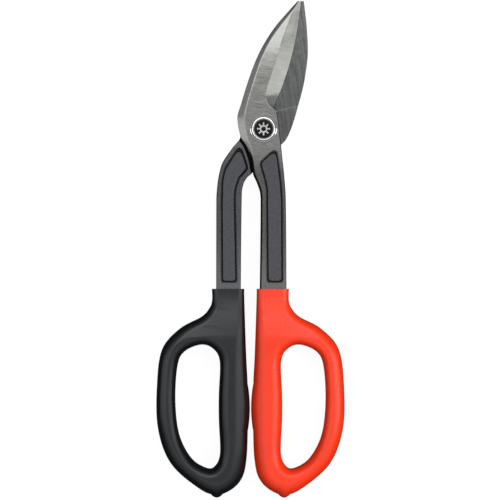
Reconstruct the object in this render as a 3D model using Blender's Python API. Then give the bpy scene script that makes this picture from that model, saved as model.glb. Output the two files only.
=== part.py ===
"""Forged single-pivot tinner's snips, closed and lying flat on a table.

The pivot axis is +Z through the origin and the table is z = 0. +Y runs to the
blade tips, and +X to the grip of the half that lies on top. The numbers below
are millimetres; the meshes are made in metres.
"""

import math

import bmesh
import bpy
import numpy as np
from mathutils import Vector
from mathutils.geometry import tessellate_polygon

MM = 0.001
CLEARANCE = 0.3            # left between two pieces that touch

# Overall sizes
BLADE_LENGTH = 83.3        # pivot axis to the tips
PIVOT_TO_GRIP = 104.0      # pivot axis to the mouths of the grips
BOW_LENGTH = 134.0         # mouth of a grip to the far end of its bow
GRIP_THICKNESS = 22.0      # through a bow, which is what the tool lies on

# Forged halves
PLATE_THICKNESS = 5.0      # each half around the pivot
TIP_THICKNESS = 2.4        # each blade at its tip
THICKNESS_EASE = 0.2       # how much thinner a blade is where its taper begins
EDGE_LAND = 0.9            # upright face of a cutting edge
EDGE_BREAK = 0.6           # chamfer along a shank
BACK_WALL = 3.4            # upright face left below the bevel on a blade's back
BLADE_ROOT = 20.0          # the blade stretches beyond this distance from the pivot
SHANK_RUN = 46.2           # distance from the pivot where a shank runs straight
SWING_RADIUS = 18.0        # the lower half's heel swings inside this radius

# Pivot
BOLT_DIAMETER = 10.0
FLANGE_DIAMETER = 18.0
FLANGE_HEIGHT = 1.1
HEAD_HEIGHT = 3.9
RIM_WIDTH = 1.6            # ring of the head around its cap
CAP_RECESS = 2.4
CAP_THICKNESS = 1.0
TICK_COUNT = 8
HUB_RADIUS = 2.4           # ring of the badge on the cap
HUB_WIDTH = 0.9
BADGE_RADIUS = 4.2
BADGE_THICKNESS = 0.6
TICK_HUB_TURN = 11.0       # half a tick's width in degrees, at the ring
TICK_TIP_TURN = 7.0        # and at its tip
WASHER_DIAMETER = 17.0
WASHER_THICKNESS = 1.0
WASHER_SPLIT = 1.2
NUT_ACROSS_FLATS = 16.0
NUT_CHAMFER = 0.7

# Grips
GRIP_WALL = 3.4            # soft cover over the side of the steel bow
MOUTH_THICKNESS = 16.4     # through a grip at its mouth
MOUTH_ROUNDING = 3.4
BOW_ROUNDING = 5.6
SWELL_LENGTH = 32.0        # over which the mouth swells to the bow
GRIP_PLANE_X = -8.5        # the grips mirror each other across this plane
SHANK_IN_GRIP = 12.0       # full-width shank inside the mouth
NIB_RADIUS = 3.0

# Inlays
POCKET_DEPTH = 1.7
GROOVE_WIDTH = 1.2
GROOVE_FLOOR = 0.6         # thickness of an inlay's border
INLAY_BELOW_RIM = 0.15

SEGMENTS = 32

HALF_HEIGHT = CLEARANCE / 2 + PLATE_THICKNESS
SHEAR_Z = GRIP_THICKNESS / 2
HEAD_Z = SHEAR_Z + HALF_HEIGHT + CLEARANCE
WASHER_TOP = SHEAR_Z - HALF_HEIGHT - CLEARANCE
NUT_TOP = WASHER_TOP - WASHER_THICKNESS - CLEARANCE
SHANK_END = -(PIVOT_TO_GRIP + SHANK_IN_GRIP)
INLAY_END = -(PIVOT_TO_GRIP - 4.0)


# Outlines. A rail is a line along a half, as (y, x) points from tip to grip.

UPPER_CUT = [(83.3, 24.6), (75.5, 23.7), (63.1, 21.8), (43.4, 17.4), (27.1, 12.1), (14.3, 7.5),
             (11.1, 8.7), (-0.7, 10.3), (-18.5, 12.2), (-30.9, 13.5), (-46.2, 14.5), (SHANK_END, 15.0)]
UPPER_RIDGE = [(83.3, 23.4), (77.1, 19.2), (67.3, 15.5), (58.5, 12.2), (43.9, 8.1), (31.7, 4.0),
               (21.5, 1.4), (17.6, 2.1), (15.0, 3.9), (11.1, 8.1), (-0.7, 9.7), (-18.5, 11.6),
               (-46.2, 13.9), (SHANK_END, 14.4)]
UPPER_BEVEL = [(83.3, 23.0), (77.1, 18.8), (67.7, 11.5), (57.7, 4.4), (44.8, -1.8), (31.7, -6.2),
               (14.3, -11.3), (7.1, -12.6), (-3.6, -11.1), (-15.3, -7.3), (-28.4, -5.4), (-41.3, -1.5),
               (-46.2, -1.3), (SHANK_END, -2.0)]
UPPER_BACK = [(83.3, 22.3), (74.8, 14.6), (64.8, 6.3), (49.1, -3.0), (36.4, -8.2), (16.6, -14.5),
              (7.1, -17.0), (-4.6, -15.0), (-10.9, -11.6), (-20.2, -7.9), (-28.4, -7.0), (-35.9, -4.0),
              (-41.3, -2.3), (-46.2, -1.9), (SHANK_END, -2.6)]
LOWER_CUT = [(83.3, 24.4), (75.5, 21.8), (63.0, 17.8), (43.4, 10.0), (27.1, 3.3), (15.5, -3.0),
             (9.0, -11.5), (0.0, -14.4), (-5.6, -15.2), (-12.7, -20.5), (-24.2, -27.6), (-37.1, -30.1),
             (-46.2, -30.7), (SHANK_END, -30.8)]
LOWER_RIDGE = [(83.3, 25.3), (75.5, 24.4), (63.0, 22.6), (43.4, 17.5), (27.1, 11.4), (18.0, 5.0),
               (12.0, -4.0), (8.4, -10.9), (0.0, -13.8), (-5.6, -14.6), (-12.7, -19.9), (-24.2, -27.0),
               (-37.1, -29.5), (-46.2, -30.1), (SHANK_END, -30.2)]
LOWER_BEVEL = [(83.3, 25.9), (75.5, 25.4), (59.0, 25.2), (41.6, 24.2), (24.5, 20.7), (7.0, 16.4),
               (-5.5, 12.4), (-10.1, 9.3), (-14.3, 3.4), (-17.4, -3.6), (-28.4, -8.4), (-35.9, -13.9),
               (-46.2, -14.9), (SHANK_END, -15.5)]
LOWER_BACK = [(83.3, 26.3), (75.5, 27.2), (67.3, 28.1), (50.9, 28.9), (32.9, 26.9), (13.1, 22.0),
              (2.7, 18.9), (-6.6, 14.8), (-10.1, 11.6), (-15.3, 5.0), (-16.6, 0.0), (-18.6, -3.4),
              (-22.0, -5.4), (-28.4, -7.2), (-31.3, -10.6), (-35.9, -13.1), (-41.3, -14.1), (SHANK_END, -14.9)]

# Thickness of a half along its length, as (y, thickness): it thins only towards the tip.
THICKNESS = [(83.3, TIP_THICKNESS), (66.0, 0.52 * TIP_THICKNESS + 0.48 * PLATE_THICKNESS),
             (48.0, PLATE_THICKNESS - THICKNESS_EASE), (34.0, PLATE_THICKNESS), (SHANK_END, PLATE_THICKNESS)]

# How far a back bevel falls below the flat face, as (y, drop).
BACK_DROP = [(83.3, 0.9), (60.0, 1.4), (15.0, PLATE_THICKNESS - BACK_WALL),
             (-12.0, PLATE_THICKNESS - BACK_WALL), (-SHANK_RUN, EDGE_BREAK), (SHANK_END, EDGE_BREAK)]

# The wall that ends a shank's full thickness, left of the round stretch on the upper half.
UPPER_WALL = [(-2.4, -19.9), (-4.4, -23.0), (-6.0, -28.2), (-9.5, -33.0)]
LOWER_WALL = [(-17.4, -7.4), (-15.9, -7.9), (-14.0, -9.9), (-12.2, -13.5), (-9.8, -20.5),
              (-8.9, -25.5), (-8.0, -29.8)]

# Pockets for the inlays, as (x, y) corners.
RIGHT_FRONT_POCKET = [(6.6, -13.0), (8.8, -12.3), (11.8, -35.0), (12.6, -46.2), (12.9, INLAY_END),
                      (2.0, INLAY_END), (1.6, -39.2), (0.7, -34.2), (-2.9, -22.0)]
RIGHT_BACK_POCKET = [(8.6, -21.5), (10.1, -21.0), (11.8, -35.0), (12.6, -46.2), (12.9, INLAY_END),
                     (2.0, INLAY_END), (1.6, -39.2), (0.7, -34.2), (-1.2, -29.0)]
LEFT_POCKET = [(-17.4, -12.6), (-13.9, -12.5), (-9.7, -25.9), (-15.4, -32.1), (-17.6, -39.2),
               (-18.1, -46.2), (-17.0, INLAY_END), (-27.6, INLAY_END), (-27.8, -46.2), (-27.4, -33.0),
               (-25.6, -25.8)]

# Outlines of a grip: distance out from the mirror plane, and distance below the mouth.
GRIP_OUTLINE = [(4.3, -8.0), (9.0, -12.5), (14.4, -14.0), (20.0, -12.5), (24.9, -8.0), (24.9, 6.7),
                (26.7, 12.4), (31.9, 18.1), (45.9, 25.8), (57.4, 39.1), (60.8, 62.0), (60.2, 90.6),
                (51.8, 113.5), (33.6, 129.7), (21.9, 134.0), (11.6, 130.0), (5.0, 122.0), (2.5, 110.0),
                (1.6, 95.0), (0.35, 84.0), (0.35, 72.0), (1.9, 60.0), (2.8, 42.0), (4.0, 6.0)]
BOW_OPENING = [(32.8, 36.3), (24.9, 38.4), (20.0, 46.8), (20.6, 68.7), (20.6, 85.0), (19.8, 106.9),
               (23.4, 115.6), (29.1, 116.4), (38.6, 110.0), (46.3, 95.0), (48.9, 73.5), (47.6, 50.6),
               (43.2, 41.0)]
NOMINAL_BOW = 134.0
NOMINAL_BLADE = 83.3


def finish(name, colour, roughness, metallic=0.0):
    """A material with one Principled shader."""
    material = bpy.data.materials.new(name)
    material.use_nodes = True
    shader = material.node_tree.nodes["Principled BSDF"]
    shader.inputs["Base Color"].default_value = (*colour, 1.0)
    shader.inputs["Roughness"].default_value = roughness
    shader.inputs["Metallic"].default_value = metallic
    material.diffuse_color = (*colour, 1.0)
    return material


def solid(name, points, faces, material=None):
    """An object from points in millimetres and faces, with its faces turned out."""
    mesh = bpy.data.meshes.new(name)
    shape = bmesh.new()
    verts = [shape.verts.new(Vector(point) * MM) for point in points]
    for face in faces:
        shape.faces.new([verts[index] for index in face])
    bmesh.ops.triangulate(shape, faces=shape.faces)
    bmesh.ops.recalc_face_normals(shape, faces=shape.faces)
    shape.to_mesh(mesh)
    shape.free()
    mesh.shade_smooth()
    mesh.set_sharp_from_angle(angle=math.radians(32))
    obj = bpy.data.objects.new(name, mesh)
    bpy.context.scene.collection.objects.link(obj)
    if material:
        mesh.materials.append(material)
    return obj


def combine(obj, tool, operation):
    """Cuts obj by tool, or joins tool to it; the tool itself is only a guide."""
    tool.hide_render = True
    tool.display_type = "WIRE"
    modifier = obj.modifiers.new(tool.name, "BOOLEAN")
    modifier.solver = "EXACT"
    modifier.operation = operation
    modifier.object = tool


def rings_to_faces(ring_count, size):
    """Quads between each ring of points and the next, all rings being as long."""
    faces = []
    for ring in range(ring_count - 1):
        for index in range(size):
            after = (index + 1) % size
            start = ring * size
            faces.append((start + index, start + after, start + size + after, start + size + index))
    return faces


def prism(name, outline, low, high, material=None):
    """An upright solid with this (x, y) outline between two heights."""
    points = [(x, y, z) for z in (low, high) for x, y in outline]
    size = len(outline)
    faces = rings_to_faces(2, size)
    faces.append(tuple(reversed(range(size))))
    faces.append(tuple(range(size, 2 * size)))
    return solid(name, points, faces, material)


def turned(name, profile, material=None, segments=SEGMENTS):
    """A solid of revolution about the pivot axis, from a closed (radius, z) profile off the axis."""
    points = []
    for step in range(segments):
        angle = 2 * math.pi * step / segments
        points += [(r * math.cos(angle), r * math.sin(angle), z) for r, z in profile]
    return solid(name, points, round_faces(segments, len(profile)), material)


def round_faces(ring_count, size):
    """Quads between each ring of points and the next, and between the last and the first."""
    faces = rings_to_faces(ring_count, size)
    last = (ring_count - 1) * size
    for index in range(size):
        after = (index + 1) % size
        faces.append((last + index, last + after, after, index))
    return faces


def disc(name, radius, low, high, material=None, segments=SEGMENTS):
    """A round solid on the pivot axis."""
    return prism(name, circle(radius, segments), low, high, material)


def circle(radius, segments=SEGMENTS, start=0.0):
    """Points of a circle about the pivot axis."""
    angles = [start + 2 * math.pi * step / segments for step in range(segments)]
    return [(radius * math.cos(angle), radius * math.sin(angle)) for angle in angles]


def arc(radius, first, last, steps):
    """Points of an arc about the pivot axis, between two angles in degrees."""
    angles = np.radians(np.linspace(first, last, steps))
    return [(radius * math.cos(angle), radius * math.sin(angle)) for angle in angles]


def along(y):
    """Where a rail's point lies once the blade has its length."""
    if y <= BLADE_ROOT:
        return y
    stretch = (BLADE_LENGTH - BLADE_ROOT) / (NOMINAL_BLADE - BLADE_ROOT)
    return BLADE_ROOT + (y - BLADE_ROOT) * stretch


def rail(points):
    """A function of y through (y, value) points that never overshoots them."""
    ys, values = np.array(sorted((along(y), value) for y, value in points)).T
    steps = np.diff(values) / np.diff(ys)
    slopes = np.concatenate(([steps[0]], np.zeros(len(steps) - 1), [steps[-1]]))
    for index in range(1, len(steps)):
        before, after = steps[index - 1], steps[index]
        if before * after > 0:
            slopes[index] = 2 * before * after / (before + after)

    def value_at(y):
        index = int(np.clip(np.searchsorted(ys, y) - 1, 0, len(ys) - 2))
        span = ys[index + 1] - ys[index]
        t = min(max((y - ys[index]) / span, 0.0), 1.0)
        start = values[index] * (1 + 2 * t) * (1 - t) ** 2 + slopes[index] * span * t * (1 - t) ** 2
        end = values[index + 1] * t * t * (3 - 2 * t) + slopes[index + 1] * span * t * t * (t - 1)
        return start + end

    return value_at


def stations(*rails, closest=1.2, widest=7.0):
    """The y values where a half gets a section: its rails' points, and more between far ones."""
    marks = sorted({round(along(y), 3) for points in rails for y, _ in points})
    kept = [marks[0]]
    for mark in marks[1:-1]:
        if mark - kept[-1] < closest or marks[-1] - mark < closest:
            continue
        if mark > -SHANK_RUN and mark - kept[-1] > widest:
            count = math.ceil((mark - kept[-1]) / widest)
            kept += list(np.linspace(kept[-1], mark, count + 1)[1:-1])
        kept.append(mark)
    kept.append(marks[-1])
    return kept


def edge_height(y, face):
    """Height of the cutting side's top edge: low along the blade, up to a chamfer behind it."""
    throat, corner = 14.3, 11.1
    share = min(max((throat - y) / (throat - corner), 0.0), 1.0)
    low = CLEARANCE / 2 + EDGE_LAND
    return low + (face - EDGE_BREAK - low) * share


def section(y, rails, side):
    """One section of a half: eight points around it, side being +1 for the upper half."""
    cut, ridge, bevel, back, thickness, drop = (line(y) for line in rails)
    inward = math.copysign(EDGE_BREAK, back - cut)
    face = CLEARANCE / 2 + thickness
    far = -HALF_HEIGHT
    outline = [(cut + inward, far), (cut, far + EDGE_BREAK), (cut, edge_height(y, face)), (ridge, face),
               (bevel, face), (back, face - drop), (back, far + EDGE_BREAK), (back - inward, far)]
    return [(x, y, SHEAR_Z + side * height) for x, height in outline]


def forging(name, lines, side, material):
    """The forged blank of one half, at full thickness from tip to tang."""
    rails = [rail(points) for points in (*lines, THICKNESS, BACK_DROP)]
    sections = [section(y, rails, side) for y in stations(*lines)]
    size = len(sections[0])
    points = [point for ring in sections for point in ring]
    faces = rings_to_faces(len(sections), size)
    faces.append(tuple(reversed(range(size))))
    faces.append(tuple(range(len(points) - size, len(points))))
    return solid(name, points, faces, material)


def spline(corners, per_span):
    """A closed smooth curve through the corners, with this many points to each span."""
    count = len(corners)
    points = []
    for index in range(count):
        a, b, c, d = (np.array(corners[(index + step) % count], float) for step in (-1, 0, 1, 2))
        for t in np.arange(per_span) / per_span:
            points.append(0.5 * (2 * b + (c - a) * t + (2 * a - 5 * b + 4 * c - d) * t * t
                                 + (3 * b - a - 3 * c + d) * t ** 3))
    return np.array(points)


def inward_normals(points):
    """Unit normals of a closed curve, pointing to the left of its run."""
    tangents = np.roll(points, -1, axis=0) - np.roll(points, 1, axis=0)
    tangents /= np.linalg.norm(tangents, axis=1)[:, None]
    return np.stack([-tangents[:, 1], tangents[:, 0]], axis=1)


def signed_area(points):
    """Area inside a closed outline, positive when it runs anticlockwise."""
    x, y = np.array(points).T
    return 0.5 * float(np.sum(x * np.roll(y, -1) - np.roll(x, -1) * y))


def bow_curves(direction, per_span=3):
    """Outline and opening of one grip in x and y, both running anticlockwise."""
    curves = []
    for corners in (GRIP_OUTLINE, BOW_OPENING):
        placed = []
        for out, down in corners:
            stretch = BOW_LENGTH / NOMINAL_BOW if down > 0 else 1.0
            placed.append((GRIP_PLANE_X + direction * out, -PIVOT_TO_GRIP - down * stretch))
        curve = spline(placed, per_span)
        curves.append(curve if signed_area(curve) > 0 else curve[::-1])
    return curves


def swell(y, at_mouth, at_bow):
    """A size that grows smoothly from the mouth of a grip to its bow."""
    share = min(max((-PIVOT_TO_GRIP - y) / SWELL_LENGTH, 0.0), 1.0)
    share = share * share * (3 - 2 * share)
    return at_mouth + (at_bow - at_mouth) * share


def bow_solid(name, direction, layers, inset, height, rounding, material=None):
    """A bow: rings around its outline and its opening, each with a share of height and rounding."""
    points = []
    faces = []
    for curve, inner in zip(bow_curves(direction), (1, -1)):
        normals = inward_normals(curve) * inner
        start = len(points)
        for rise, pull in layers:
            for (x, y), (nx, ny) in zip(curve, normals):
                move = inset + pull * rounding(y)
                points.append((x + nx * move, y + ny * move, SHEAR_Z + rise * height(y)))
        size = len(curve)
        faces += [tuple(start + index for index in face) for face in rings_to_faces(len(layers), size)]
    faces += end_faces(points, direction, len(layers))
    return solid(name, points, faces, material)


def end_faces(points, direction, layer_count):
    """Triangles that close a bow below and above, between its outline and its opening."""
    outer, opening = (len(curve) for curve in bow_curves(direction))
    faces = []
    for layer in (0, layer_count - 1):
        loops = [range(layer * outer, (layer + 1) * outer)]
        start = layer_count * outer + layer * opening
        loops.append(range(start, start + opening))
        order = [index for loop in loops for index in loop]
        flat = [[Vector((*points[index][:2], 0.0)) for index in loop] for loop in loops]
        faces += [tuple(order[corner] for corner in face) for face in tessellate_polygon(flat)]
    return faces


def block(name, low, high, material=None):
    """A box between two corners."""
    outline = [(low[0], low[1]), (high[0], low[1]), (high[0], high[1]), (low[0], high[1])]
    return prism(name, outline, low[2], high[2], material)


def flat_bow(name, direction, inset, rise):
    """A square-edged bow, set in from the grip's outline and reaching this far from its middle."""
    layers = [(-1.0, 0.0), (1.0, 0.0)]
    return bow_solid(name, direction, layers, inset, lambda y: rise, lambda y: 0.0)


def tang(name, direction):
    """The steel bow inside a grip."""
    return flat_bow(name, direction, GRIP_WALL + CLEARANCE, HALF_HEIGHT - EDGE_BREAK)


def tang_room(name, direction):
    """The room inside a grip for the steel bow."""
    return flat_bow(name, direction, GRIP_WALL, HALF_HEIGHT - EDGE_BREAK + CLEARANCE)


def shank_room(name, cut_line, back_line):
    """The room inside a grip's mouth for the shank."""
    ends = (-PIVOT_TO_GRIP + SHANK_IN_GRIP, SHANK_END - CLEARANCE)
    sides = [rail(cut_line), rail(back_line)]
    outline = []
    for y, order in ((ends[0], 1), (ends[1], -1)):
        low, high = sorted(side(max(y, SHANK_END)) for side in sides)
        outline += [(low - CLEARANCE, y), (high + CLEARANCE, y)][::order]
    half = HALF_HEIGHT + CLEARANCE
    return prism(name, outline, SHEAR_Z - half, SHEAR_Z + half)


def inset_polygon(corners, distance):
    """The outline moved inwards by a distance, corner for corner."""
    if signed_area(corners) < 0:
        corners = corners[::-1]
    lines = []
    for a, b in zip(corners, corners[1:] + corners[:1]):
        run = np.subtract(b, a)
        run = run / np.linalg.norm(run)
        lines.append((np.array(a) + distance * np.array([-run[1], run[0]]), run))
    moved = []
    for (p, u), (q, v) in zip(lines[-1:] + lines[:-1], lines):
        t = ((q[0] - p[0]) * v[1] - (q[1] - p[1]) * v[0]) / (u[0] * v[1] - u[1] * v[0])
        moved.append((p[0] + u[0] * t, p[1] + u[1] * t))
    return moved


def pocket(name, corners, side):
    """The cutter for an inlay's pocket in the face on this side."""
    floor = SHEAR_Z + side * (HALF_HEIGHT - POCKET_DEPTH)
    top = SHEAR_Z + side * (HALF_HEIGHT + 2.0)
    return prism(name, corners, min(floor, top), max(floor, top))


def inlay(name, corners, side, material):
    """A moulded inlay: a thin border that fills the pocket, and a pad inside its groove."""
    floor = HALF_HEIGHT - POCKET_DEPTH + CLEARANCE
    border = inset_polygon(corners, CLEARANCE)
    pad = inset_polygon(corners, GROOVE_WIDTH + CLEARANCE)
    heights = (floor, floor + GROOVE_FLOOR, floor + GROOVE_FLOOR, HALF_HEIGHT - INLAY_BELOW_RIM)
    points = []
    for outline, height in zip((border, border, pad, pad), heights):
        points += [(x, y, SHEAR_Z + side * height) for x, y in outline]
    size = len(border)
    faces = rings_to_faces(4, size)
    faces.append(tuple(reversed(range(size))))
    faces.append(tuple(range(3 * size, 4 * size)))
    return solid(name, points, faces, material)


def swing_room(name, wall, side):
    """The cutter that leaves one half room to swing over the other, up to a shank's wall."""
    shear = SHEAR_Z + side * CLEARANCE / 2
    beyond = SHEAR_Z - side * (HALF_HEIGHT + 2.0)
    reach = BLADE_LENGTH + 40.0
    if side > 0:
        outline = arc(SWING_RADIUS, -38.0, -88.0, 8) + wall
        outline += [(-reach, wall[-1][1]), (-reach, reach), (reach, reach), (reach, outline[0][1])]
    else:
        outline = wall + [(reach, wall[-1][1]), (reach, reach), (-reach, reach), (-reach, wall[0][1])]
    return prism(name, outline, min(shear, beyond), max(shear, beyond))


def bore(name):
    """The cutter for the pivot hole, through both halves."""
    return disc(name, BOLT_DIAMETER / 2 + CLEARANCE, -5.0, 2 * SHEAR_Z + 5.0)


def half(name, lines, side, wall, pockets, material):
    """One forged half: blade, pivot plate, shank and the steel bow inside its grip."""
    obj = forging(name, lines, side, material)
    combine(obj, tang(name + "_tang", side), "UNION")
    combine(obj, swing_room(name + "_room", wall, side), "DIFFERENCE")
    combine(obj, bore(name + "_bore"), "DIFFERENCE")
    for label, corners, face in pockets:
        combine(obj, pocket(name + label, corners, face), "DIFFERENCE")
    return obj


def grip(name, lines, direction, material):
    """A soft cover moulded over one bow, open at its mouth for the shank."""
    angles = np.radians(np.linspace(-90.0, 90.0, 9))
    layers = [(math.sin(angle), 1 - math.cos(angle)) for angle in angles]

    def height(y):
        return swell(y, MOUTH_THICKNESS, GRIP_THICKNESS) / 2

    def rounding(y):
        return swell(y, MOUTH_ROUNDING, BOW_ROUNDING)

    obj = bow_solid(name, direction, layers, 0.0, height, rounding, material)
    combine(obj, nib(name + "_nib", direction), "UNION")
    reach = 120.0
    above = block(name + "_mouth", (GRIP_PLANE_X - reach, -PIVOT_TO_GRIP, -10.0),
                  (GRIP_PLANE_X + reach, -PIVOT_TO_GRIP + 40.0, GRIP_THICKNESS + 10.0))
    combine(obj, above, "DIFFERENCE")
    combine(obj, tang_room(name + "_tang_room", direction), "DIFFERENCE")
    combine(obj, shank_room(name + "_shank_room", lines[0], lines[-1]), "DIFFERENCE")
    return obj


def nib(name, direction):
    """The small drop at the far end of a grip."""
    out, down = 21.9, BOW_LENGTH - 0.6
    centre = np.array([GRIP_PLANE_X + direction * out, -PIVOT_TO_GRIP - down, SHEAR_Z])
    points = []
    latitudes = np.radians(np.linspace(-75.0, 75.0, 7))
    for latitude in latitudes:
        ring = circle(NIB_RADIUS * math.cos(latitude), 14)
        points += [tuple(centre + np.array([x, y, NIB_RADIUS * math.sin(latitude)])) for x, y in ring]
    faces = rings_to_faces(len(latitudes), 14)
    faces.append(tuple(reversed(range(14))))
    faces.append(tuple(range(len(points) - 14, len(points))))
    return solid(name, points, faces)


def pivot_bolt(material):
    """The bolt: a flanged head with a recess for its cap, and a plain shank down to the table."""
    radius = BOLT_DIAMETER / 2
    flange = FLANGE_DIAMETER / 2
    crown = flange - 0.9
    recess = crown - RIM_WIDTH
    top = HEAD_Z + HEAD_HEIGHT
    outer = [(radius - 0.5, 0.0), (radius, 0.5), (radius, HEAD_Z), (flange, HEAD_Z),
             (flange, HEAD_Z + 0.4), (flange - 0.5, HEAD_Z + FLANGE_HEIGHT),
             (crown, HEAD_Z + FLANGE_HEIGHT + 0.2), (crown - 0.25, top - 0.8), (crown - 0.9, top),
             (recess + 0.2, top), (recess, top - 0.3), (recess, top - CAP_RECESS)]
    points = []
    for r, z in outer:
        points += [(x, y, z) for x, y in circle(r)]
    faces = rings_to_faces(len(outer), SEGMENTS)
    faces.append(tuple(reversed(range(SEGMENTS))))
    faces.append(tuple(range(len(points) - SEGMENTS, len(points))))
    return solid("pivot_bolt", points, faces, material)


def cap_radius():
    """Radius of the cap that sits in the bolt head."""
    return FLANGE_DIAMETER / 2 - 0.9 - RIM_WIDTH - CLEARANCE


def cap_top():
    """Height of the cap's face."""
    return HEAD_Z + HEAD_HEIGHT - CAP_RECESS + CLEARANCE + CAP_THICKNESS


def bolt_cap(material):
    """The black disc in the bolt head."""
    return disc("bolt_cap", cap_radius(), cap_top() - CAP_THICKNESS, cap_top(), material)


def cap_badge(material):
    """A plain cog-shaped badge on the cap: a hub ring with short radial ticks."""
    low = cap_top() + CLEARANCE
    hole = HUB_RADIUS - HUB_WIDTH
    points = []
    for tick in range(TICK_COUNT):
        middle = 360.0 * tick / TICK_COUNT
        for radius, turn in ((HUB_RADIUS, -TICK_HUB_TURN), (BADGE_RADIUS, -TICK_TIP_TURN),
                             (BADGE_RADIUS, TICK_TIP_TURN), (HUB_RADIUS, TICK_HUB_TURN)):
            angle = math.radians(middle + turn)
            across = [(hole, low), (radius, low), (radius, low + BADGE_THICKNESS), (hole, low + BADGE_THICKNESS)]
            points += [(r * math.cos(angle), r * math.sin(angle), z) for r, z in across]
    return solid("cap_badge", points, round_faces(4 * TICK_COUNT, 4), material)


def spring_washer(material):
    """The split washer between the lower half and the nut."""
    inner = BOLT_DIAMETER / 2 + CLEARANCE
    outer = WASHER_DIAMETER / 2
    low = WASHER_TOP - WASHER_THICKNESS
    profile = [(inner, low), (outer, low), (outer, WASHER_TOP), (inner, WASHER_TOP)]
    obj = turned("spring_washer", profile, material)
    split = block("washer_split", (0.0, -WASHER_SPLIT / 2, low - 2.0),
                  (outer + 3.0, WASHER_SPLIT / 2, WASHER_TOP + 2.0))
    combine(obj, split, "DIFFERENCE")
    return obj


def pivot_nut(material):
    """The thin six-sided nut that the tool rests on."""
    corner = NUT_ACROSS_FLATS / 2 / math.cos(math.pi / 6)
    rings = [(corner - NUT_CHAMFER, 0.0), (corner, NUT_CHAMFER * 0.6), (corner, NUT_TOP - NUT_CHAMFER * 0.6),
             (corner - NUT_CHAMFER, NUT_TOP)]
    points = []
    for radius, z in rings:
        points += [(x, y, z) for x, y in circle(radius, 6)]
    faces = rings_to_faces(len(rings), 6)
    faces.append(tuple(reversed(range(6))))
    faces.append(tuple(range(len(points) - 6, len(points))))
    obj = solid("pivot_nut", points, faces, material)
    combine(obj, bore("nut_bore"), "DIFFERENCE")
    return obj


def clear_scene():
    """Empties the file that this runs in."""
    for obj in list(bpy.data.objects):
        bpy.data.objects.remove(obj, do_unlink=True)


def main():
    """Builds every piece, and hangs the upper half on the pivot axis."""
    clear_scene()
    steel = finish("forged_steel", (0.33, 0.34, 0.33), 0.38, 0.9)
    dark_steel = finish("dark_forged_steel", (0.16, 0.17, 0.18), 0.45, 0.9)
    chrome = finish("chrome", (0.85, 0.85, 0.84), 0.12, 1.0)
    zinc = finish("zinc_plate", (0.55, 0.56, 0.58), 0.35, 1.0)
    black = finish("black_vinyl", (0.02, 0.021, 0.024), 0.42)
    red = finish("orange_red_vinyl", (0.85, 0.09, 0.035), 0.4)
    inlay_grey = finish("dark_grey_inlay", (0.065, 0.065, 0.07), 0.7)
    cap_black = finish("black_cap", (0.01, 0.01, 0.011), 0.3)

    upper_lines = (UPPER_CUT, UPPER_RIDGE, UPPER_BEVEL, UPPER_BACK)
    lower_lines = (LOWER_CUT, LOWER_RIDGE, LOWER_BEVEL, LOWER_BACK)
    upper = half("upper_blade_half", upper_lines, 1, UPPER_WALL,
                 [("_front_pocket", RIGHT_FRONT_POCKET, 1), ("_back_pocket", RIGHT_BACK_POCKET, -1)], steel)
    half("lower_blade_half", lower_lines, -1, LOWER_WALL,
         [("_front_pocket", LEFT_POCKET, 1), ("_back_pocket", LEFT_POCKET, -1)], dark_steel)

    red_grip = grip("red_grip", upper_lines, 1, red)
    grip("black_grip", lower_lines, -1, black)
    right_front = inlay("right_front_inlay", RIGHT_FRONT_POCKET, 1, inlay_grey)
    right_back = inlay("right_back_inlay", RIGHT_BACK_POCKET, -1, inlay_grey)
    inlay("left_front_inlay", LEFT_POCKET, 1, inlay_grey)
    inlay("left_back_inlay", LEFT_POCKET, -1, inlay_grey)

    pivot_bolt(chrome)
    bolt_cap(cap_black)
    cap_badge(chrome)
    spring_washer(zinc)
    pivot_nut(zinc)

    pivot = bpy.data.objects.new("blade_pivot_axis", None)
    bpy.context.scene.collection.objects.link(pivot)
    for obj in (upper, red_grip, right_front, right_back):
        obj.parent = pivot


main()
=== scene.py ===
"""Looks of a pair of forged, single-pivot tinner's snips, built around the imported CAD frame.

Each sub-assembly is a class: the two forged halves, their soft grips, the shank inlays and the
pivot hardware. Each finish is a frozen dataclass that makes its own procedural material. Outlines
are millimetres in the CAD's frame, whose origin is on the pivot axis at table level, with +Y
towards the blade tips; meshes are made in metres.
"""

import logging
import math
from collections.abc import Callable, Sequence
from dataclasses import dataclass, field
from enum import Enum

import bmesh
import bpy
import numpy as np
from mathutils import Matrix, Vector
from mathutils.geometry import tessellate_polygon


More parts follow.
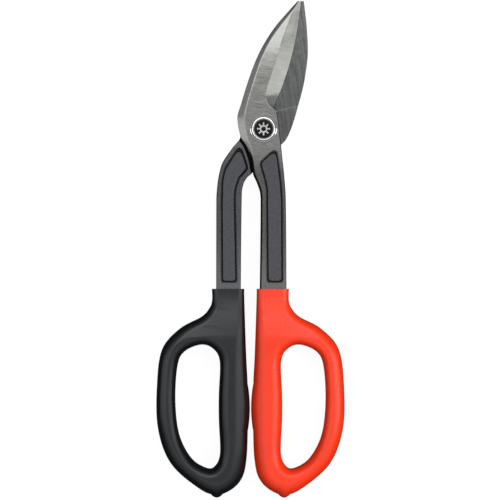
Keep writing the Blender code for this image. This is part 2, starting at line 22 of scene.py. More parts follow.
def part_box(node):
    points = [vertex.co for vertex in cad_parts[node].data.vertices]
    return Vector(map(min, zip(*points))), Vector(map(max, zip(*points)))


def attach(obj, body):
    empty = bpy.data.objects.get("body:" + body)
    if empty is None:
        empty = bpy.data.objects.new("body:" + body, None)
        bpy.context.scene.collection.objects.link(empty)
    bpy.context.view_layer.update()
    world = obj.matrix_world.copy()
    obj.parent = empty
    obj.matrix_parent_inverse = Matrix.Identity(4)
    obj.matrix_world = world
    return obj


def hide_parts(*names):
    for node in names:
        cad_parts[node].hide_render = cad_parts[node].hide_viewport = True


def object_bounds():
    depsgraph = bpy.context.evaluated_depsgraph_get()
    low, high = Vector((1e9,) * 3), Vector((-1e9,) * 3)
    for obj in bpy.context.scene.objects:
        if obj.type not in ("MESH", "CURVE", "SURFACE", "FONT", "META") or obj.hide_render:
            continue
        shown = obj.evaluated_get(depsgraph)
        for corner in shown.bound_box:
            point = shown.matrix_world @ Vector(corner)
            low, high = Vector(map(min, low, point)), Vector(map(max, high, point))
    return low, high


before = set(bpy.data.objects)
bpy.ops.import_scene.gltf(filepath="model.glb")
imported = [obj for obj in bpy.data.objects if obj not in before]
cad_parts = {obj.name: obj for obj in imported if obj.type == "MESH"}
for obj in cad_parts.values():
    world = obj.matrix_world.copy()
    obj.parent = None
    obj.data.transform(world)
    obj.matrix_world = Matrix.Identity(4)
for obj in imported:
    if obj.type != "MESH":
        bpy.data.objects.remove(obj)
CAD_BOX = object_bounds()

MM = 0.001
KEEN_CORNER = 62.0
# Near black, painted as shade in the recess by the step between the halves.
PAINTED_SHADE_BLACK = (0.004, 0.004, 0.004)
DUST_GREY = (0.02, 0.02, 0.02)
LOG = logging.getLogger("snips")

Pair = tuple[float, float]
Triple = tuple[float, float, float]
Rgb = tuple[float, float, float]
Face = tuple[int, ...]


def millimetres(node: str) -> tuple[Vector, Vector]:
    """Lowest and highest corners of a CAD node.

    Args:
        node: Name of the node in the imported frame.

    Returns:
        The two corners in millimetres.
    """
    low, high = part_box(node)
    return Vector(low) / MM, Vector(high) / MM


def piece_name(node: str) -> str:
    """Name of the finely made piece that stands for a CAD node."""
    return f"fine_{node}"


class Side(Enum):
    """Which half a piece belongs to, and so which face of the tool it turns up."""

    UPPER = 1
    LOWER = -1

    @property
    def body(self) -> str:
        """Name of the CAD body that the half's pieces ride on."""
        return "upper_half" if self is Side.UPPER else "lower_half"


# Shapes shared by every sub-assembly -------------------------------------------------------------


@dataclass
class Shell:
    """A mesh under construction: points in millimetres and faces between them.

    Attributes:
        points: The points made so far.
        faces: Faces as point indices.
    """

    points: list[Triple] = field(default_factory=list)
    faces: list[Face] = field(default_factory=list)

    def rings(self, rings: Sequence[Sequence[Triple]], closed: bool = False) -> int:
        """Adds rings of points and the quads between each ring and the next.

        Args:
            rings: Rings that all hold the same number of points.
            closed: Whether the last ring also joins the first.

        Returns:
            The index of the first point added.
        """
        start = len(self.points)
        size = len(rings[0])
        for ring in rings:
            self.points.extend(ring)
        count = len(rings)
        for row in range(count if closed else count - 1):
            here = start + row * size
            there = start + (row + 1) % count * size
            for index in range(size):
                after = (index + 1) % size
                self.faces.append((here + index, here + after, there + after, there + index))
        return start

    def column(self, rings: Sequence[Sequence[Triple]], has_hollow_ends: bool = False) -> None:
        """Adds rings of points as a solid column.

        Args:
            rings: Rings that all hold the same number of points.
            has_hollow_ends: Whether the end rings curve inwards, and so are closed with triangles.
        """
        start = self.rings(rings)
        size = len(rings[0])
        last = start + (len(rings) - 1) * size
        close = self.cap if has_hollow_ends else self.plate
        close(range(start + size - 1, start - 1, -1))
        close(range(last, last + size))

    def cap(self, *loops: Sequence[int]) -> None:
        """Closes flat loops of points with triangles, any loop after the first being a hole."""
        order = [index for loop in loops for index in loop]
        flat = [[Vector((*self.points[index][:2], 0.0)) for index in loop] for loop in loops]
        self.faces += [tuple(order[corner] for corner in face) for face in tessellate_polygon(flat)]

    def plate(self, loop: Sequence[int]) -> None:
        """Closes one loop with a single face."""
        self.faces.append(tuple(loop))

    def build(self, name: str) -> bpy.types.Object:
        """Makes the object, with its faces turned out.

        Args:
            name: Name of the object.

        Returns:
            The new object, linked to the scene.
        """
        shape = bmesh.new()
        verts = [shape.verts.new(Vector(point) * MM) for point in self.points]
        for face in self.faces:
            shape.faces.new([verts[index] for index in face])
        bmesh.ops.recalc_face_normals(shape, faces=shape.faces)
        mesh = bpy.data.meshes.new(name)
        shape.to_mesh(mesh)
        shape.free()
        obj = bpy.data.objects.new(name, mesh)
        bpy.context.scene.collection.objects.link(obj)
        return obj


@dataclass(frozen=True)
class Rail:
    """A smooth line along a half that passes through its points without overshooting them.

    Attributes:
        points: (y, value) points in any order.
    """

    points: tuple[Pair, ...]

    def at(self, y: float) -> float:
        """Value of the rail at a distance along the tool."""
        ys, values = np.array(sorted(self.points)).T
        steps = np.diff(values) / np.diff(ys)
        index = int(np.clip(np.searchsorted(ys, y) - 1, 0, len(steps) - 1))
        span = ys[index + 1] - ys[index]
        t = min(max((y - ys[index]) / span, 0.0), 1.0)
        first = self._slope(steps, index)
        last = self._slope(steps, index + 1)
        start = values[index] * (1 + 2 * t) * (1 - t) ** 2 + first * span * t * (1 - t) ** 2
        end = values[index + 1] * t * t * (3 - 2 * t) + last * span * t * t * (t - 1)
        return float(start + end)

    @staticmethod
    def _slope(steps: np.ndarray, index: int) -> float:
        """Slope at a point: the harmonic mean of its two sides, or level at a turning point."""
        before = steps[max(index - 1, 0)]
        after = steps[min(index, len(steps) - 1)]
        return 2 * before * after / (before + after) if before * after > 0 else 0.0


def smooth_share(value: float, low: float, high: float) -> float:
    """How far a value has gone from low to high, eased at both ends.

    Args:
        value: The value to place.
        low: Where the share is 0.
        high: Where the share is 1.

    Returns:
        A share from 0 to 1.
    """
    share = min(max((value - low) / (high - low), 0.0), 1.0)
    return share * share * (3 - 2 * share)


def fillet(corners: Sequence[Pair], radii: Sequence[float], steps: int, closed: bool = True) -> list[Pair]:
    """Rounds the corners of an outline.

    Args:
        corners: The outline's corners.
        radii: How far each rounding starts from its corner, at most 0.45 of an edge.
        steps: Spans in each rounding, so that each corner gives steps + 1 points.
        closed: Whether the outline closes on itself.

    Returns:
        The points of the rounded outline.
    """
    count = len(corners)
    points: list[Pair] = []
    for index, (corner, radius) in enumerate(zip(corners, radii)):
        here = np.array(corner, float)
        if not closed and index in (0, count - 1):
            points += [tuple(here)] * (steps + 1)
            continue
        before = np.array(corners[index - 1], float) - here
        after = np.array(corners[(index + 1) % count], float) - here
        reach = min(radius, 0.45 * np.linalg.norm(before), 0.45 * np.linalg.norm(after))
        start = here + before / np.linalg.norm(before) * reach
        end = here + after / np.linalg.norm(after) * reach
        for t in np.linspace(0.0, 1.0, steps + 1):
            points.append(tuple((1 - t) ** 2 * start + 2 * t * (1 - t) * here + t * t * end))
    return points


def soften(corners: Sequence[Pair], reach: float, steps: int) -> list[Pair]:
    """Rounds an outline's corners, and its keenest corners about three times as far.

    Args:
        corners: A closed outline.
        reach: How far a rounding starts from a plain corner.
        steps: Spans in each rounding.

    Returns:
        The points of the rounded outline.
    """
    points = np.array(corners, float)
    before = np.roll(points, 1, axis=0) - points
    after = np.roll(points, -1, axis=0) - points
    lengths = np.linalg.norm(before, axis=1) * np.linalg.norm(after, axis=1)
    turns = np.degrees(np.arccos(np.clip(np.sum(before * after, axis=1) / lengths, -1.0, 1.0)))
    return fillet(corners, [reach * (3.2 if turn < KEEN_CORNER else 1.0) for turn in turns], steps)


def inset(outline: Sequence[Pair], distance: float) -> list[Pair]:
    """Moves an outline inwards, point by point, or outwards for a distance below zero.

    Args:
        outline: A closed outline with soft corners.
        distance: How far each point moves.

    Returns:
        As many points as the outline has.
    """
    points = np.array(outline, float)
    ahead = np.roll(points, -1, axis=0) - points
    runs = ahead / np.linalg.norm(ahead, axis=1)[:, None]
    normals = np.stack([-runs[:, 1], runs[:, 0]], axis=1) * math.copysign(1.0, area(points))
    before = np.roll(normals, 1, axis=0)
    middle = (normals + before) / (1.0 + np.sum(normals * before, axis=1))[:, None]
    return [tuple(point) for point in points + distance * middle]


def area(outline: Sequence[Pair]) -> float:
    """Area inside a closed outline, above zero when it runs anticlockwise."""
    x, y = np.array(outline).T
    return 0.5 * float(np.sum(x * np.roll(y, -1) - np.roll(x, -1) * y))


def turned_outline(radius: float, segments: int) -> list[Pair]:
    """Points of a circle about the pivot axis."""
    angles = [2 * math.pi * step / segments for step in range(segments)]
    return [(radius * math.cos(angle), radius * math.sin(angle)) for angle in angles]


def prism(name: str, outline: Sequence[Pair], low: float, high: float) -> bpy.types.Object:
    """An upright solid with one outline between two heights, used as a tool for cutting."""
    shell = Shell()
    shell.column([[(x, y, z) for x, y in outline] for z in (low, high)])
    return shell.build(name)


def settle(obj: bpy.types.Object, sharp_angle: float = 32.0) -> None:
    """Shades a finished piece smooth up to an angle, with flat faces kept flat.

    Args:
        obj: The piece.
        sharp_angle: Edges sharper than this many degrees stay crisp.
    """
    obj.data.shade_smooth()
    obj.data.set_sharp_from_angle(angle=math.radians(sharp_angle))
    weighting = obj.modifiers.new("even_shading", "WEIGHTED_NORMAL")
    weighting.keep_sharp = True
    weighting.weight = 80


def carve(obj: bpy.types.Object, tool: bpy.types.Object, operation: str) -> None:
    """Applies a Boolean with a tool and throws the tool away.

    Args:
        obj: The piece that is changed.
        tool: The solid that cuts or joins it.
        operation: DIFFERENCE or UNION.
    """
    modifier = obj.modifiers.new("carve", "BOOLEAN")
    modifier.solver = "EXACT"
    modifier.operation = operation
    modifier.object = tool
    bpy.context.view_layer.update()
    evaluated = obj.evaluated_get(bpy.context.evaluated_depsgraph_get())
    mesh = bpy.data.meshes.new_from_object(evaluated)
    obj.modifiers.remove(modifier)
    obj.data = mesh
    mesh.name = obj.name
    bpy.data.objects.remove(tool, do_unlink=True)
    tidy_mesh(mesh)


def tidy_mesh(mesh: bpy.types.Mesh) -> None:
    """Removes the slivers that a cut leaves behind."""
    shape = bmesh.new()
    shape.from_mesh(mesh)
    bmesh.ops.remove_doubles(shape, verts=shape.verts, dist=1e-6)
    bmesh.ops.dissolve_degenerate(shape, dist=1e-6, edges=shape.edges)
    shape.to_mesh(mesh)
    shape.free()


def dress(obj: bpy.types.Object, material: bpy.types.Material) -> None:
    """Gives a piece its one material."""
    obj.data.materials.clear()
    obj.data.materials.append(material)


def enter(obj: bpy.types.Object, side: Side, slot: str, *nodes: str) -> None:
    """Hands a finished piece to the frame.

    Args:
        obj: The piece.
        side: The half whose body it rides on.
        slot: The record's material slot for its finish; it is not used.
        *nodes: The CAD nodes that it stands for.
    """
    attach(obj, side.body)
    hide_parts(*nodes)
    LOG.info("%s: %d faces", obj.name, len(obj.data.polygons))


# Finishes -----------------------------------------------------------------------------------------


class Graph:
    """A material's nodes, with short ways to add and join them."""

    def __init__(self, name: str) -> None:
        """Starts a material with one Principled shader."""
        self.material = bpy.data.materials.new(name)
        self.material.use_nodes = True
        self.tree = self.material.node_tree
        self.shader = self.tree.nodes["Principled BSDF"]

    def add(self, kind: str, inputs: dict[str | int, object] | None = None,
            **settings: object) -> bpy.types.Node:
        """Adds a node.

        Args:
            kind: The node's type, such as ShaderNodeTexNoise.
            inputs: Socket values, or sockets to link from, by name or index.
            **settings: Attributes of the node.

        Returns:
            The new node.
        """
        node = self.tree.nodes.new(kind)
        for key, value in settings.items():
            setattr(node, key, value)
        for key, value in (inputs or {}).items():
            if isinstance(value, bpy.types.NodeSocket):
                self.tree.links.new(value, node.inputs[key])
            else:
                node.inputs[key].default_value = value
        return node

    def set(self, **values: object) -> None:
        """Sets or links sockets of the shader, with underscores for the spaces in their names."""
        for key, value in values.items():
            socket = self.shader.inputs[key.replace("_", " ")]
            if isinstance(value, bpy.types.NodeSocket):
                self.tree.links.new(value, socket)
            else:
                socket.default_value = value

    def stretched(self, scale: Triple, turn: float = 0.0) -> bpy.types.NodeSocket:
        """The object's own coordinates, turned about the pivot axis and stretched."""
        where = self.add("ShaderNodeTexCoord").outputs["Object"]
        spin = self.add("ShaderNodeMapping", {"Vector": where, "Rotation": (0.0, 0.0, turn)})
        return self.add("ShaderNodeMapping", {"Vector": spin.outputs[0], "Scale": scale}).outputs[0]

    def noise(self, where: bpy.types.NodeSocket, scale: float, detail: float = 3.0,
              roughness: float = 0.55) -> bpy.types.NodeSocket:
        """Fractal noise from 0 to 1."""
        node = self.add("ShaderNodeTexNoise", {"Vector": where, "Scale": scale, "Detail": detail,
                                               "Roughness": roughness})
        return node.outputs[0]

    def spread(self, value: bpy.types.NodeSocket, low: float, high: float, start: float = 0.25,
               end: float = 0.75) -> bpy.types.NodeSocket:
        """A value remapped so that start becomes low and end becomes high."""
        node = self.add("ShaderNodeMapRange", {"Value": value, "From Min": start, "From Max": end,
                                               "To Min": low, "To Max": high})
        return node.outputs[0]

    def blend(self, share: bpy.types.NodeSocket | float, first: Rgb | bpy.types.NodeSocket,
              second: Rgb | bpy.types.NodeSocket) -> bpy.types.NodeSocket:
        """A colour between two."""
        node = self.add("ShaderNodeMix", data_type="RGBA")
        for index, value in ((0, share), (6, first), (7, second)):
            if isinstance(value, bpy.types.NodeSocket):
                self.tree.links.new(value, node.inputs[index])
            else:
                node.inputs[index].default_value = value if index == 0 else (*value, 1.0)
        return node.outputs[2]

    def bump(self, height: bpy.types.NodeSocket, depth: float, strength: float = 1.0,
             under: bpy.types.NodeSocket | None = None) -> bpy.types.NodeSocket:
        """A normal from a height, whose full range is this many metres deep."""
        node = self.add("ShaderNodeBump", {"Height": height, "Distance": depth, "Strength": strength})
        if under is not None:
            self.tree.links.new(under, node.inputs["Normal"])
        return node.outputs[0]


def shade(colour: Rgb, factor: float) -> Rgb:
    """A colour made darker or lighter."""
    return (colour[0] * factor, colour[1] * factor, colour[2] * factor)


@dataclass(frozen=True)
class ForgedSteel:
    """Bare forged steel: brushed at the blade, and left with its forged grain along the shank, with painted
    shade in one box by the step between the halves.

    Attributes:
        name: Name of the material.
        blade: Colour of the brushed blade.
        shank: Colour of the forged shank.
        gloss: Roughness of the brushed face.
        grain_turn: Direction of the brush marks, in degrees from across the tool.
        blade_end: Where the brushed face starts to give way to the forged one, in metres along Y.
        streaks: How strongly long streaks darken the brushed face, from 0 to 1.
        painted_shade_box: Corners of the room, in metres, painted near black as shade: the recess by the step
            between the halves, just below the pivot.
    """

    name: str
    blade: Rgb
    shank: Rgb
    gloss: float
    grain_turn: float
    blade_end: float
    streaks: float
    painted_shade_box: tuple[Triple, Triple]

    def material(self) -> bpy.types.Material:
        """Makes the material."""
        graph = Graph(self.name)
        turn = math.radians(self.grain_turn)
        even = graph.stretched((1.0, 1.0, 1.0))
        axes = graph.add("ShaderNodeSeparateXYZ", {0: even})
        strokes = graph.noise(graph.stretched((200.0, 2600.0, 900.0), turn), 1.0, 3.0)
        fine = graph.noise(graph.stretched((700.0, 12000.0, 2000.0), turn), 1.0, 1.0)
        broad = graph.noise(graph.stretched((45.0, 620.0, 300.0), turn + 0.06), 1.0, 2.0)
        patches = graph.noise(even, 210.0, 3.0, 0.6)
        forged = graph.noise(even, 1300.0, 3.0, 0.7)
        is_shank = graph.spread(axes.outputs[1], 1.0, 0.0, self.blade_end - 0.02, self.blade_end)
        near_grip = graph.spread(axes.outputs[1], 1.0, 0.0, -0.104, -0.066)
        brushed = graph.blend(graph.spread(strokes, 0.0, 1.0), shade(self.blade, 0.88),
                              shade(self.blade, 1.12))
        streaked = graph.blend(graph.spread(broad, self.streaks, 0.0, 0.35, 0.6), brushed,
                               shade(self.blade, 0.45))
        cloudy = graph.blend(graph.spread(patches, 0.0, 0.5, 0.35, 0.7), streaked, shade(self.blade, 0.8))
        speckled = graph.blend(graph.spread(forged, 0.0, 1.0, 0.38, 0.62), shade(self.shank, 0.62),
                               shade(self.shank, 1.38))
        scuffed = graph.blend(graph.spread(forged, 0.0, 1.0, 0.38, 0.62), shade(self.shank, 1.1),
                              shade(self.shank, 2.3))
        forging = graph.blend(near_grip, speckled, scuffed)
        steel = graph.blend(is_shank, cloudy, forging)
        # Painted shade: near black inside the box by the step between the halves.
        graph.set(Base_Color=graph.blend(self._painted_shade_share(graph, axes), steel, PAINTED_SHADE_BLACK), Metallic=1.0)
        polish = graph.spread(strokes, self.gloss - 0.03, self.gloss + 0.05)
        rough = graph.add("ShaderNodeMix", {0: is_shank, 2: polish, 3: self.gloss + 0.14})
        graph.set(Roughness=rough.outputs[0])
        soft = graph.bump(graph.noise(even, 190.0, 2.0), 0.00011, 0.5)
        lines = graph.bump(fine, 0.000012, 0.35, soft)
        grain = graph.bump(forged, 0.00005, 0.45, soft)
        chosen = graph.add("ShaderNodeMix", {0: is_shank, 4: lines, 5: grain}, data_type="VECTOR")
        graph.set(Normal=chosen.outputs[1])
        return graph.material

    def _painted_shade_share(self, graph: Graph, axes: bpy.types.Node) -> bpy.types.NodeSocket:
        """Share of painted shade: 1 inside the box by the step between the halves, where shade falls, and 0
        outside it.

        Args:
            graph: The material's nodes.
            axes: The node that splits the place into x, y and z.

        Returns:
            The share.
        """
        soft = 0.0001
        share: bpy.types.NodeSocket | None = None
        for axis, (low, high) in enumerate(zip(*self.painted_shade_box)):
            above = graph.spread(axes.outputs[axis], 0.0, 1.0, low - soft, low + soft)
            below = graph.spread(axes.outputs[axis], 1.0, 0.0, high - soft, high + soft)
            inside = graph.add("ShaderNodeMath", {0: above, 1: below}, operation="MULTIPLY").outputs[0]
            if share is not None:
                inside = graph.add("ShaderNodeMath", {0: inside, 1: share}, operation="MULTIPLY").outputs[0]
            share = inside
        return share


@dataclass(frozen=True)
class SoftVinyl:
    """Soft moulded vinyl with a faint orange-peel surface.

    Attributes:
        name: Name of the material.
        colour: Colour of the vinyl.
        worn: Colour that it scuffs to.
        gloss: Roughness of the skin.
        sheen: How much the skin glows at a grazing angle.
        ior: Index of refraction, which sets how strongly the skin mirrors.
    """

    name: str
    colour: Rgb
    worn: Rgb
    gloss: float
    sheen: float
    ior: float

    def material(self) -> bpy.types.Material:
        """Makes the material."""
        graph = Graph(self.name)
        where = graph.stretched((1.0, 1.0, 1.0))
        clouds = graph.noise(where, 60.0, 3.0)
        peel = graph.noise(where, 1400.0, 2.0)
        scuffs = graph.noise(graph.stretched((700.0, 90.0, 700.0), 0.3), 1.0, 3.0)
        tone = graph.blend(graph.spread(clouds, 0.0, 1.0), shade(self.colour, 0.94), shade(self.colour, 1.06))
        wear = graph.spread(scuffs, 0.0, 0.16, 0.58, 0.8)
        graph.set(Base_Color=graph.blend(wear, tone, self.worn))
        graph.set(Roughness=graph.spread(clouds, self.gloss - 0.03, self.gloss + 0.05), IOR=self.ior,
                  Sheen_Weight=self.sheen, Sheen_Roughness=0.45, Sheen_Tint=(*self.worn, 1.0))
        swells = graph.bump(graph.noise(where, 45.0, 1.0), 0.0002, 0.35)
        graph.set(Normal=graph.bump(peel, 0.00005, 0.35, swells))
        return graph.material


@dataclass(frozen=True)
class PebbledInlay:
    """Dark plastic moulded with a fine pebbled grain on its raised pad, with painted shade in the groove
    around it.

    Attributes:
        name: Name of the material.
        pad: Colour of the pad.
        groove: Near-black colour painted on the border in the groove around the pad, as painted shade.
        pad_rise: Distance from the shear plane above which the grain starts and below which the groove's
            painted shade lies, in metres.
        shear_height: Height of the shear plane, in metres.
    """

    name: str
    pad: Rgb
    groove: Rgb
    pad_rise: float
    shear_height: float

    def material(self) -> bpy.types.Material:
        """Makes the material."""
        graph = Graph(self.name)
        where = graph.stretched((1.0, 1.0, 1.0))
        pebbles = graph.add("ShaderNodeTexVoronoi", {"Vector": where, "Scale": 1450.0}).outputs["Distance"]
        clumps = graph.noise(where, 700.0, 2.0)
        height = graph.add("ShaderNodeSeparateXYZ", {0: graph.add("ShaderNodeTexCoord").outputs["Object"]})
        away = graph.add("ShaderNodeMath", {0: height.outputs[2], 1: self.shear_height}, operation="SUBTRACT")
        rise = graph.add("ShaderNodeMath", {0: away.outputs[0]}, operation="ABSOLUTE").outputs[0]
        on_pad = graph.spread(rise, 0.0, 1.0, self.pad_rise - 0.0001, self.pad_rise)
        grain = graph.blend(graph.spread(pebbles, 1.0, 0.0, 0.1, 0.6), shade(self.pad, 0.7),
                            shade(self.pad, 1.25))
        mottled = graph.blend(graph.spread(clumps, 0.0, 0.5), grain, shade(self.pad, 0.82))
        # Below the pad, the border gets the groove colour: painted shade in the groove.
        graph.set(Base_Color=graph.blend(on_pad, self.groove, mottled))
        graph.set(Roughness=graph.spread(clumps, 0.62, 0.78), IOR=1.33)
        graph.set(Normal=graph.bump(pebbles, 0.00018, 0.6, graph.bump(clumps, 0.0001, 0.5)))
        return graph.material


@dataclass(frozen=True)
class PlatedMetal:
    """Plated hardware: bright chrome, or duller zinc.

    Attributes:
        name: Name of the material.
        colour: Colour of the plate.
        gloss: Roughness of the plate.
        haze: How much the roughness varies.
    """

    name: str
    colour: Rgb
    gloss: float
    haze: float

    def material(self) -> bpy.types.Material:
        """Makes the material."""
        graph = Graph(self.name)
        where = graph.stretched((1.0, 1.0, 1.0))
        smears = graph.noise(where, 500.0, 3.0)
        scratches = graph.noise(graph.stretched((3000.0, 200.0, 900.0), 0.7), 1.0, 2.0)
        graph.set(Base_Color=graph.blend(graph.spread(smears, 0.0, 1.0), shade(self.colour, 0.92),
                                         self.colour))
        graph.set(Roughness=graph.spread(smears, self.gloss, self.gloss + self.haze), Metallic=1.0)
        graph.set(Normal=graph.bump(scratches, 0.000006, 0.3))
        return graph.material


@dataclass(frozen=True)
class GlossEnamel:
    """Glossy black enamel of the cap in the bolt head.

    Attributes:
        name: Name of the material.
        colour: Colour of the enamel.
    """

    name: str
    colour: Rgb

    def material(self) -> bpy.types.Material:
        """Makes the material."""
        graph = Graph(self.name)
        where = graph.stretched((1.0, 1.0, 1.0))
        dust = graph.noise(where, 2600.0, 3.0)
        graph.set(Base_Color=graph.blend(graph.spread(dust, 0.0, 0.3, 0.6, 0.85), self.colour, DUST_GREY))
        graph.set(Roughness=graph.spread(dust, 0.2, 0.34), IOR=1.22)
        graph.set(Normal=graph.bump(graph.noise(where, 240.0, 1.0), 0.00006, 0.3))
        return graph.material


class Finishes:
    """Every finish of the tool, made once and shared by its pieces."""

    def __init__(self, shear_height: float, pad_rise: float) -> None:
        """Makes the materials.

        Args:
            shear_height: Height of the shear plane, in metres.
            pad_rise: Distance of an inlay's pad from the shear plane, in metres.
        """
        # Each painted_shade_box marks where painted shade darkens the steel, in the recess by the step
        # between the halves.
        bright = ForgedSteel(name="brushed_forged_steel", blade=(0.25, 0.254, 0.24),
                             shank=(0.08, 0.079, 0.076), gloss=0.19, grain_turn=8.0, blade_end=-0.008,
                             streaks=0.15, painted_shade_box=((-0.02, -0.034, 0.0), (0.02, -0.002, 0.0107)))
        dark = ForgedSteel(name="dark_forged_steel", blade=(0.125, 0.128, 0.126),
                           shank=(0.062, 0.065, 0.068), gloss=0.22, grain_turn=76.0, blade_end=-0.004,
                           streaks=0.75, painted_shade_box=((-0.0176, -0.031, 0.0106), (0.001, -0.002, 0.0158)))
        self.steel = {Side.UPPER: bright.material(), Side.LOWER: dark.material()}
        red = SoftVinyl(name="orange_red_vinyl", colour=(0.64, 0.027, 0.004), worn=(0.78, 0.09, 0.03),
                        gloss=0.27, sheen=0.02, ior=1.4)
        black = SoftVinyl(name="black_vinyl", colour=(0.0035, 0.0045, 0.0055), worn=(0.018, 0.021, 0.024),
                          gloss=0.24, sheen=0.02, ior=1.44)
        self.vinyl = {Side.UPPER: red.material(), Side.LOWER: black.material()}
        # The groove colour is painted shade for the recess around each pad.
        inlay = PebbledInlay(name="pebbled_inlay", pad=(0.056, 0.057, 0.063),
                             groove=(0.001, 0.001, 0.0012), pad_rise=pad_rise, shear_height=shear_height)
        self.inlay = inlay.material()
        chrome = PlatedMetal(name="chrome_plate", colour=(0.88, 0.87, 0.86), gloss=0.06, haze=0.1)
        self.chrome = chrome.material()
        zinc = PlatedMetal(name="zinc_plate", colour=(0.56, 0.57, 0.58), gloss=0.28, haze=0.16)
        self.zinc = zinc.material()
        self.enamel = GlossEnamel(name="black_enamel", colour=(0.003, 0.003, 0.0035)).material()


# Forged halves ------------------------------------------------------------------------------------


@dataclass(frozen=True)
class HalfLines:
    """The lines that shape one half, as (y, x) points from the tip to inside the grip.

    Attributes:
        cut: Foot of the cutting side.
        ridge: Top of the ground face beside the cutting edge.
        bevel: Where the flat face meets the back bevel.
        back: Foot of the back bevel.
    """

    cut: tuple[Pair, ...]
    ridge: tuple[Pair, ...]
    bevel: tuple[Pair, ...]
    back: tuple[Pair, ...]


UPPER_LINES = HalfLines(
    cut=((83.3, 24.6), (75.5, 23.7), (63.1, 21.8), (43.4, 17.4), (27.1, 12.1), (14.3, 7.5), (11.1, 8.7),
         (-0.7, 10.3), (-18.5, 12.2), (-30.9, 13.5), (-46.2, 14.5), (-116.0, 15.0)),
    ridge=((83.3, 23.4), (77.1, 19.2), (67.3, 15.5), (58.5, 12.2), (43.9, 8.1), (31.7, 4.0), (21.5, 1.4),
           (17.6, 2.1), (15.0, 3.9), (11.1, 8.1), (-0.7, 9.7), (-18.5, 11.6), (-46.2, 13.9), (-116.0, 14.4)),
    bevel=((83.3, 23.0), (77.1, 18.8), (67.7, 11.5), (57.7, 4.4), (44.8, -1.8), (31.7, -6.2), (14.3, -11.3),
           (7.1, -12.6), (-3.6, -11.1), (-15.3, -7.3), (-28.4, -5.2), (-41.3, -1.0), (-46.2, -0.7),
           (-116.0, -1.5)),
    back=((83.3, 22.3), (74.8, 14.6), (64.8, 6.3), (49.1, -3.0), (36.4, -8.2), (16.6, -14.5), (7.1, -17.0),
          (-4.6, -15.0), (-10.9, -11.6), (-20.2, -7.9), (-28.4, -7.0), (-35.9, -4.0), (-41.3, -2.3),
          (-46.2, -1.9), (-116.0, -2.6)))

LOWER_LINES = HalfLines(
    cut=((83.3, 24.4), (75.5, 21.8), (63.0, 17.8), (43.4, 10.0), (27.1, 3.3), (15.5, -3.0), (9.0, -11.5),
         (0.0, -14.4), (-5.6, -15.2), (-12.7, -20.5), (-24.2, -27.6), (-37.1, -30.1), (-46.2, -30.7),
         (-116.0, -30.8)),
    ridge=((83.3, 25.3), (75.5, 24.4), (63.0, 22.6), (43.4, 17.5), (27.1, 11.4), (18.0, 5.0), (12.0, -4.0),
           (8.4, -10.9), (0.0, -13.8), (-5.6, -14.6), (-12.7, -19.9), (-24.2, -27.0), (-37.1, -29.5),
           (-46.2, -30.1), (-116.0, -30.2)),
    bevel=((83.3, 25.9), (75.5, 25.4), (59.0, 25.2), (41.6, 24.2), (24.5, 20.7), (7.0, 16.4), (-5.5, 12.4),
           (-10.1, 9.3), (-14.3, 3.4), (-17.4, -3.6), (-28.4, -8.4), (-35.9, -13.9), (-46.2, -14.9),
           (-116.0, -15.5)),
    back=((83.3, 26.3), (75.5, 27.2), (67.3, 28.1), (50.9, 28.9), (32.9, 26.9), (13.1, 22.0), (2.7, 18.9),
          (-6.6, 14.8), (-10.1, 11.6), (-15.3, 5.0), (-16.6, 0.0), (-18.6, -3.4), (-22.0, -5.4),
          (-28.4, -7.2), (-31.3, -10.6), (-35.9, -13.1), (-41.3, -14.1), (-116.0, -14.9)))

RIGHT_FRONT_POCKET = ((8.8, -11.0), (11.8, -35.0), (12.6, -46.2), (12.9, -100.0), (2.0, -100.0), (1.6, -39.2),
                      (0.7, -34.2), (-2.9, -22.0))
RIGHT_BACK_POCKET = ((8.6, -21.5), (10.1, -21.0), (11.8, -35.0), (12.6, -46.2), (12.9, -100.0),
                     (2.0, -100.0), (1.6, -39.2), (0.7, -34.2), (-1.2, -29.0))
LEFT_POCKET = ((-15.2, -9.2), (-9.7, -25.9), (-15.4, -32.1), (-17.6, -39.2), (-18.1, -46.2), (-17.0, -100.0),
               (-27.6, -100.0), (-27.8, -46.2), (-27.4, -33.0), (-25.6, -25.8))
UPPER_WALL = ((-2.4, -19.9), (-4.4, -23.0), (-6.0, -28.2), (-9.5, -33.0))
LOWER_WALL = ((-17.4, -7.4), (-15.9, -7.9), (-14.0, -9.9), (-12.2, -13.5), (-9.8, -20.5), (-8.9, -25.5),
              (-8.0, -29.8))


@dataclass(frozen=True)
class HalfSizes:
    """Sizes that both halves share, in millimetres.

    Attributes:
        shear_z: Height of the plane where the halves slide on each other.
        gap: Room between them.
        plate: Thickness around the pivot.
        edge_land: Upright face of a cutting edge.
        edge_break: Rounding along a shank.
        swing_radius: The lower heel swings inside this radius.
        bore: Diameter of the pivot hole.
        pocket_depth: Depth of the pockets for the inlays.
        hollow: How far the ground face beside the cutting edge sinks below a straight grind.
        spacing: Distance from one section to the next along the blade.
        rounding: How far each edge of the section is rounded.
    """

    shear_z: float = 11.0
    gap: float = 0.3
    plate: float = 5.0
    edge_land: float = 0.9
    edge_break: float = 0.6
    swing_radius: float = 18.0
    bore: float = 10.6
    pocket_depth: float = 1.7
    hollow: float = 0.28
    spacing: float = 1.1
    rounding: float = 0.42

    @property
    def half_height(self) -> float:
        """Distance from the shear plane to either flat face."""
        return self.gap / 2 + self.plate


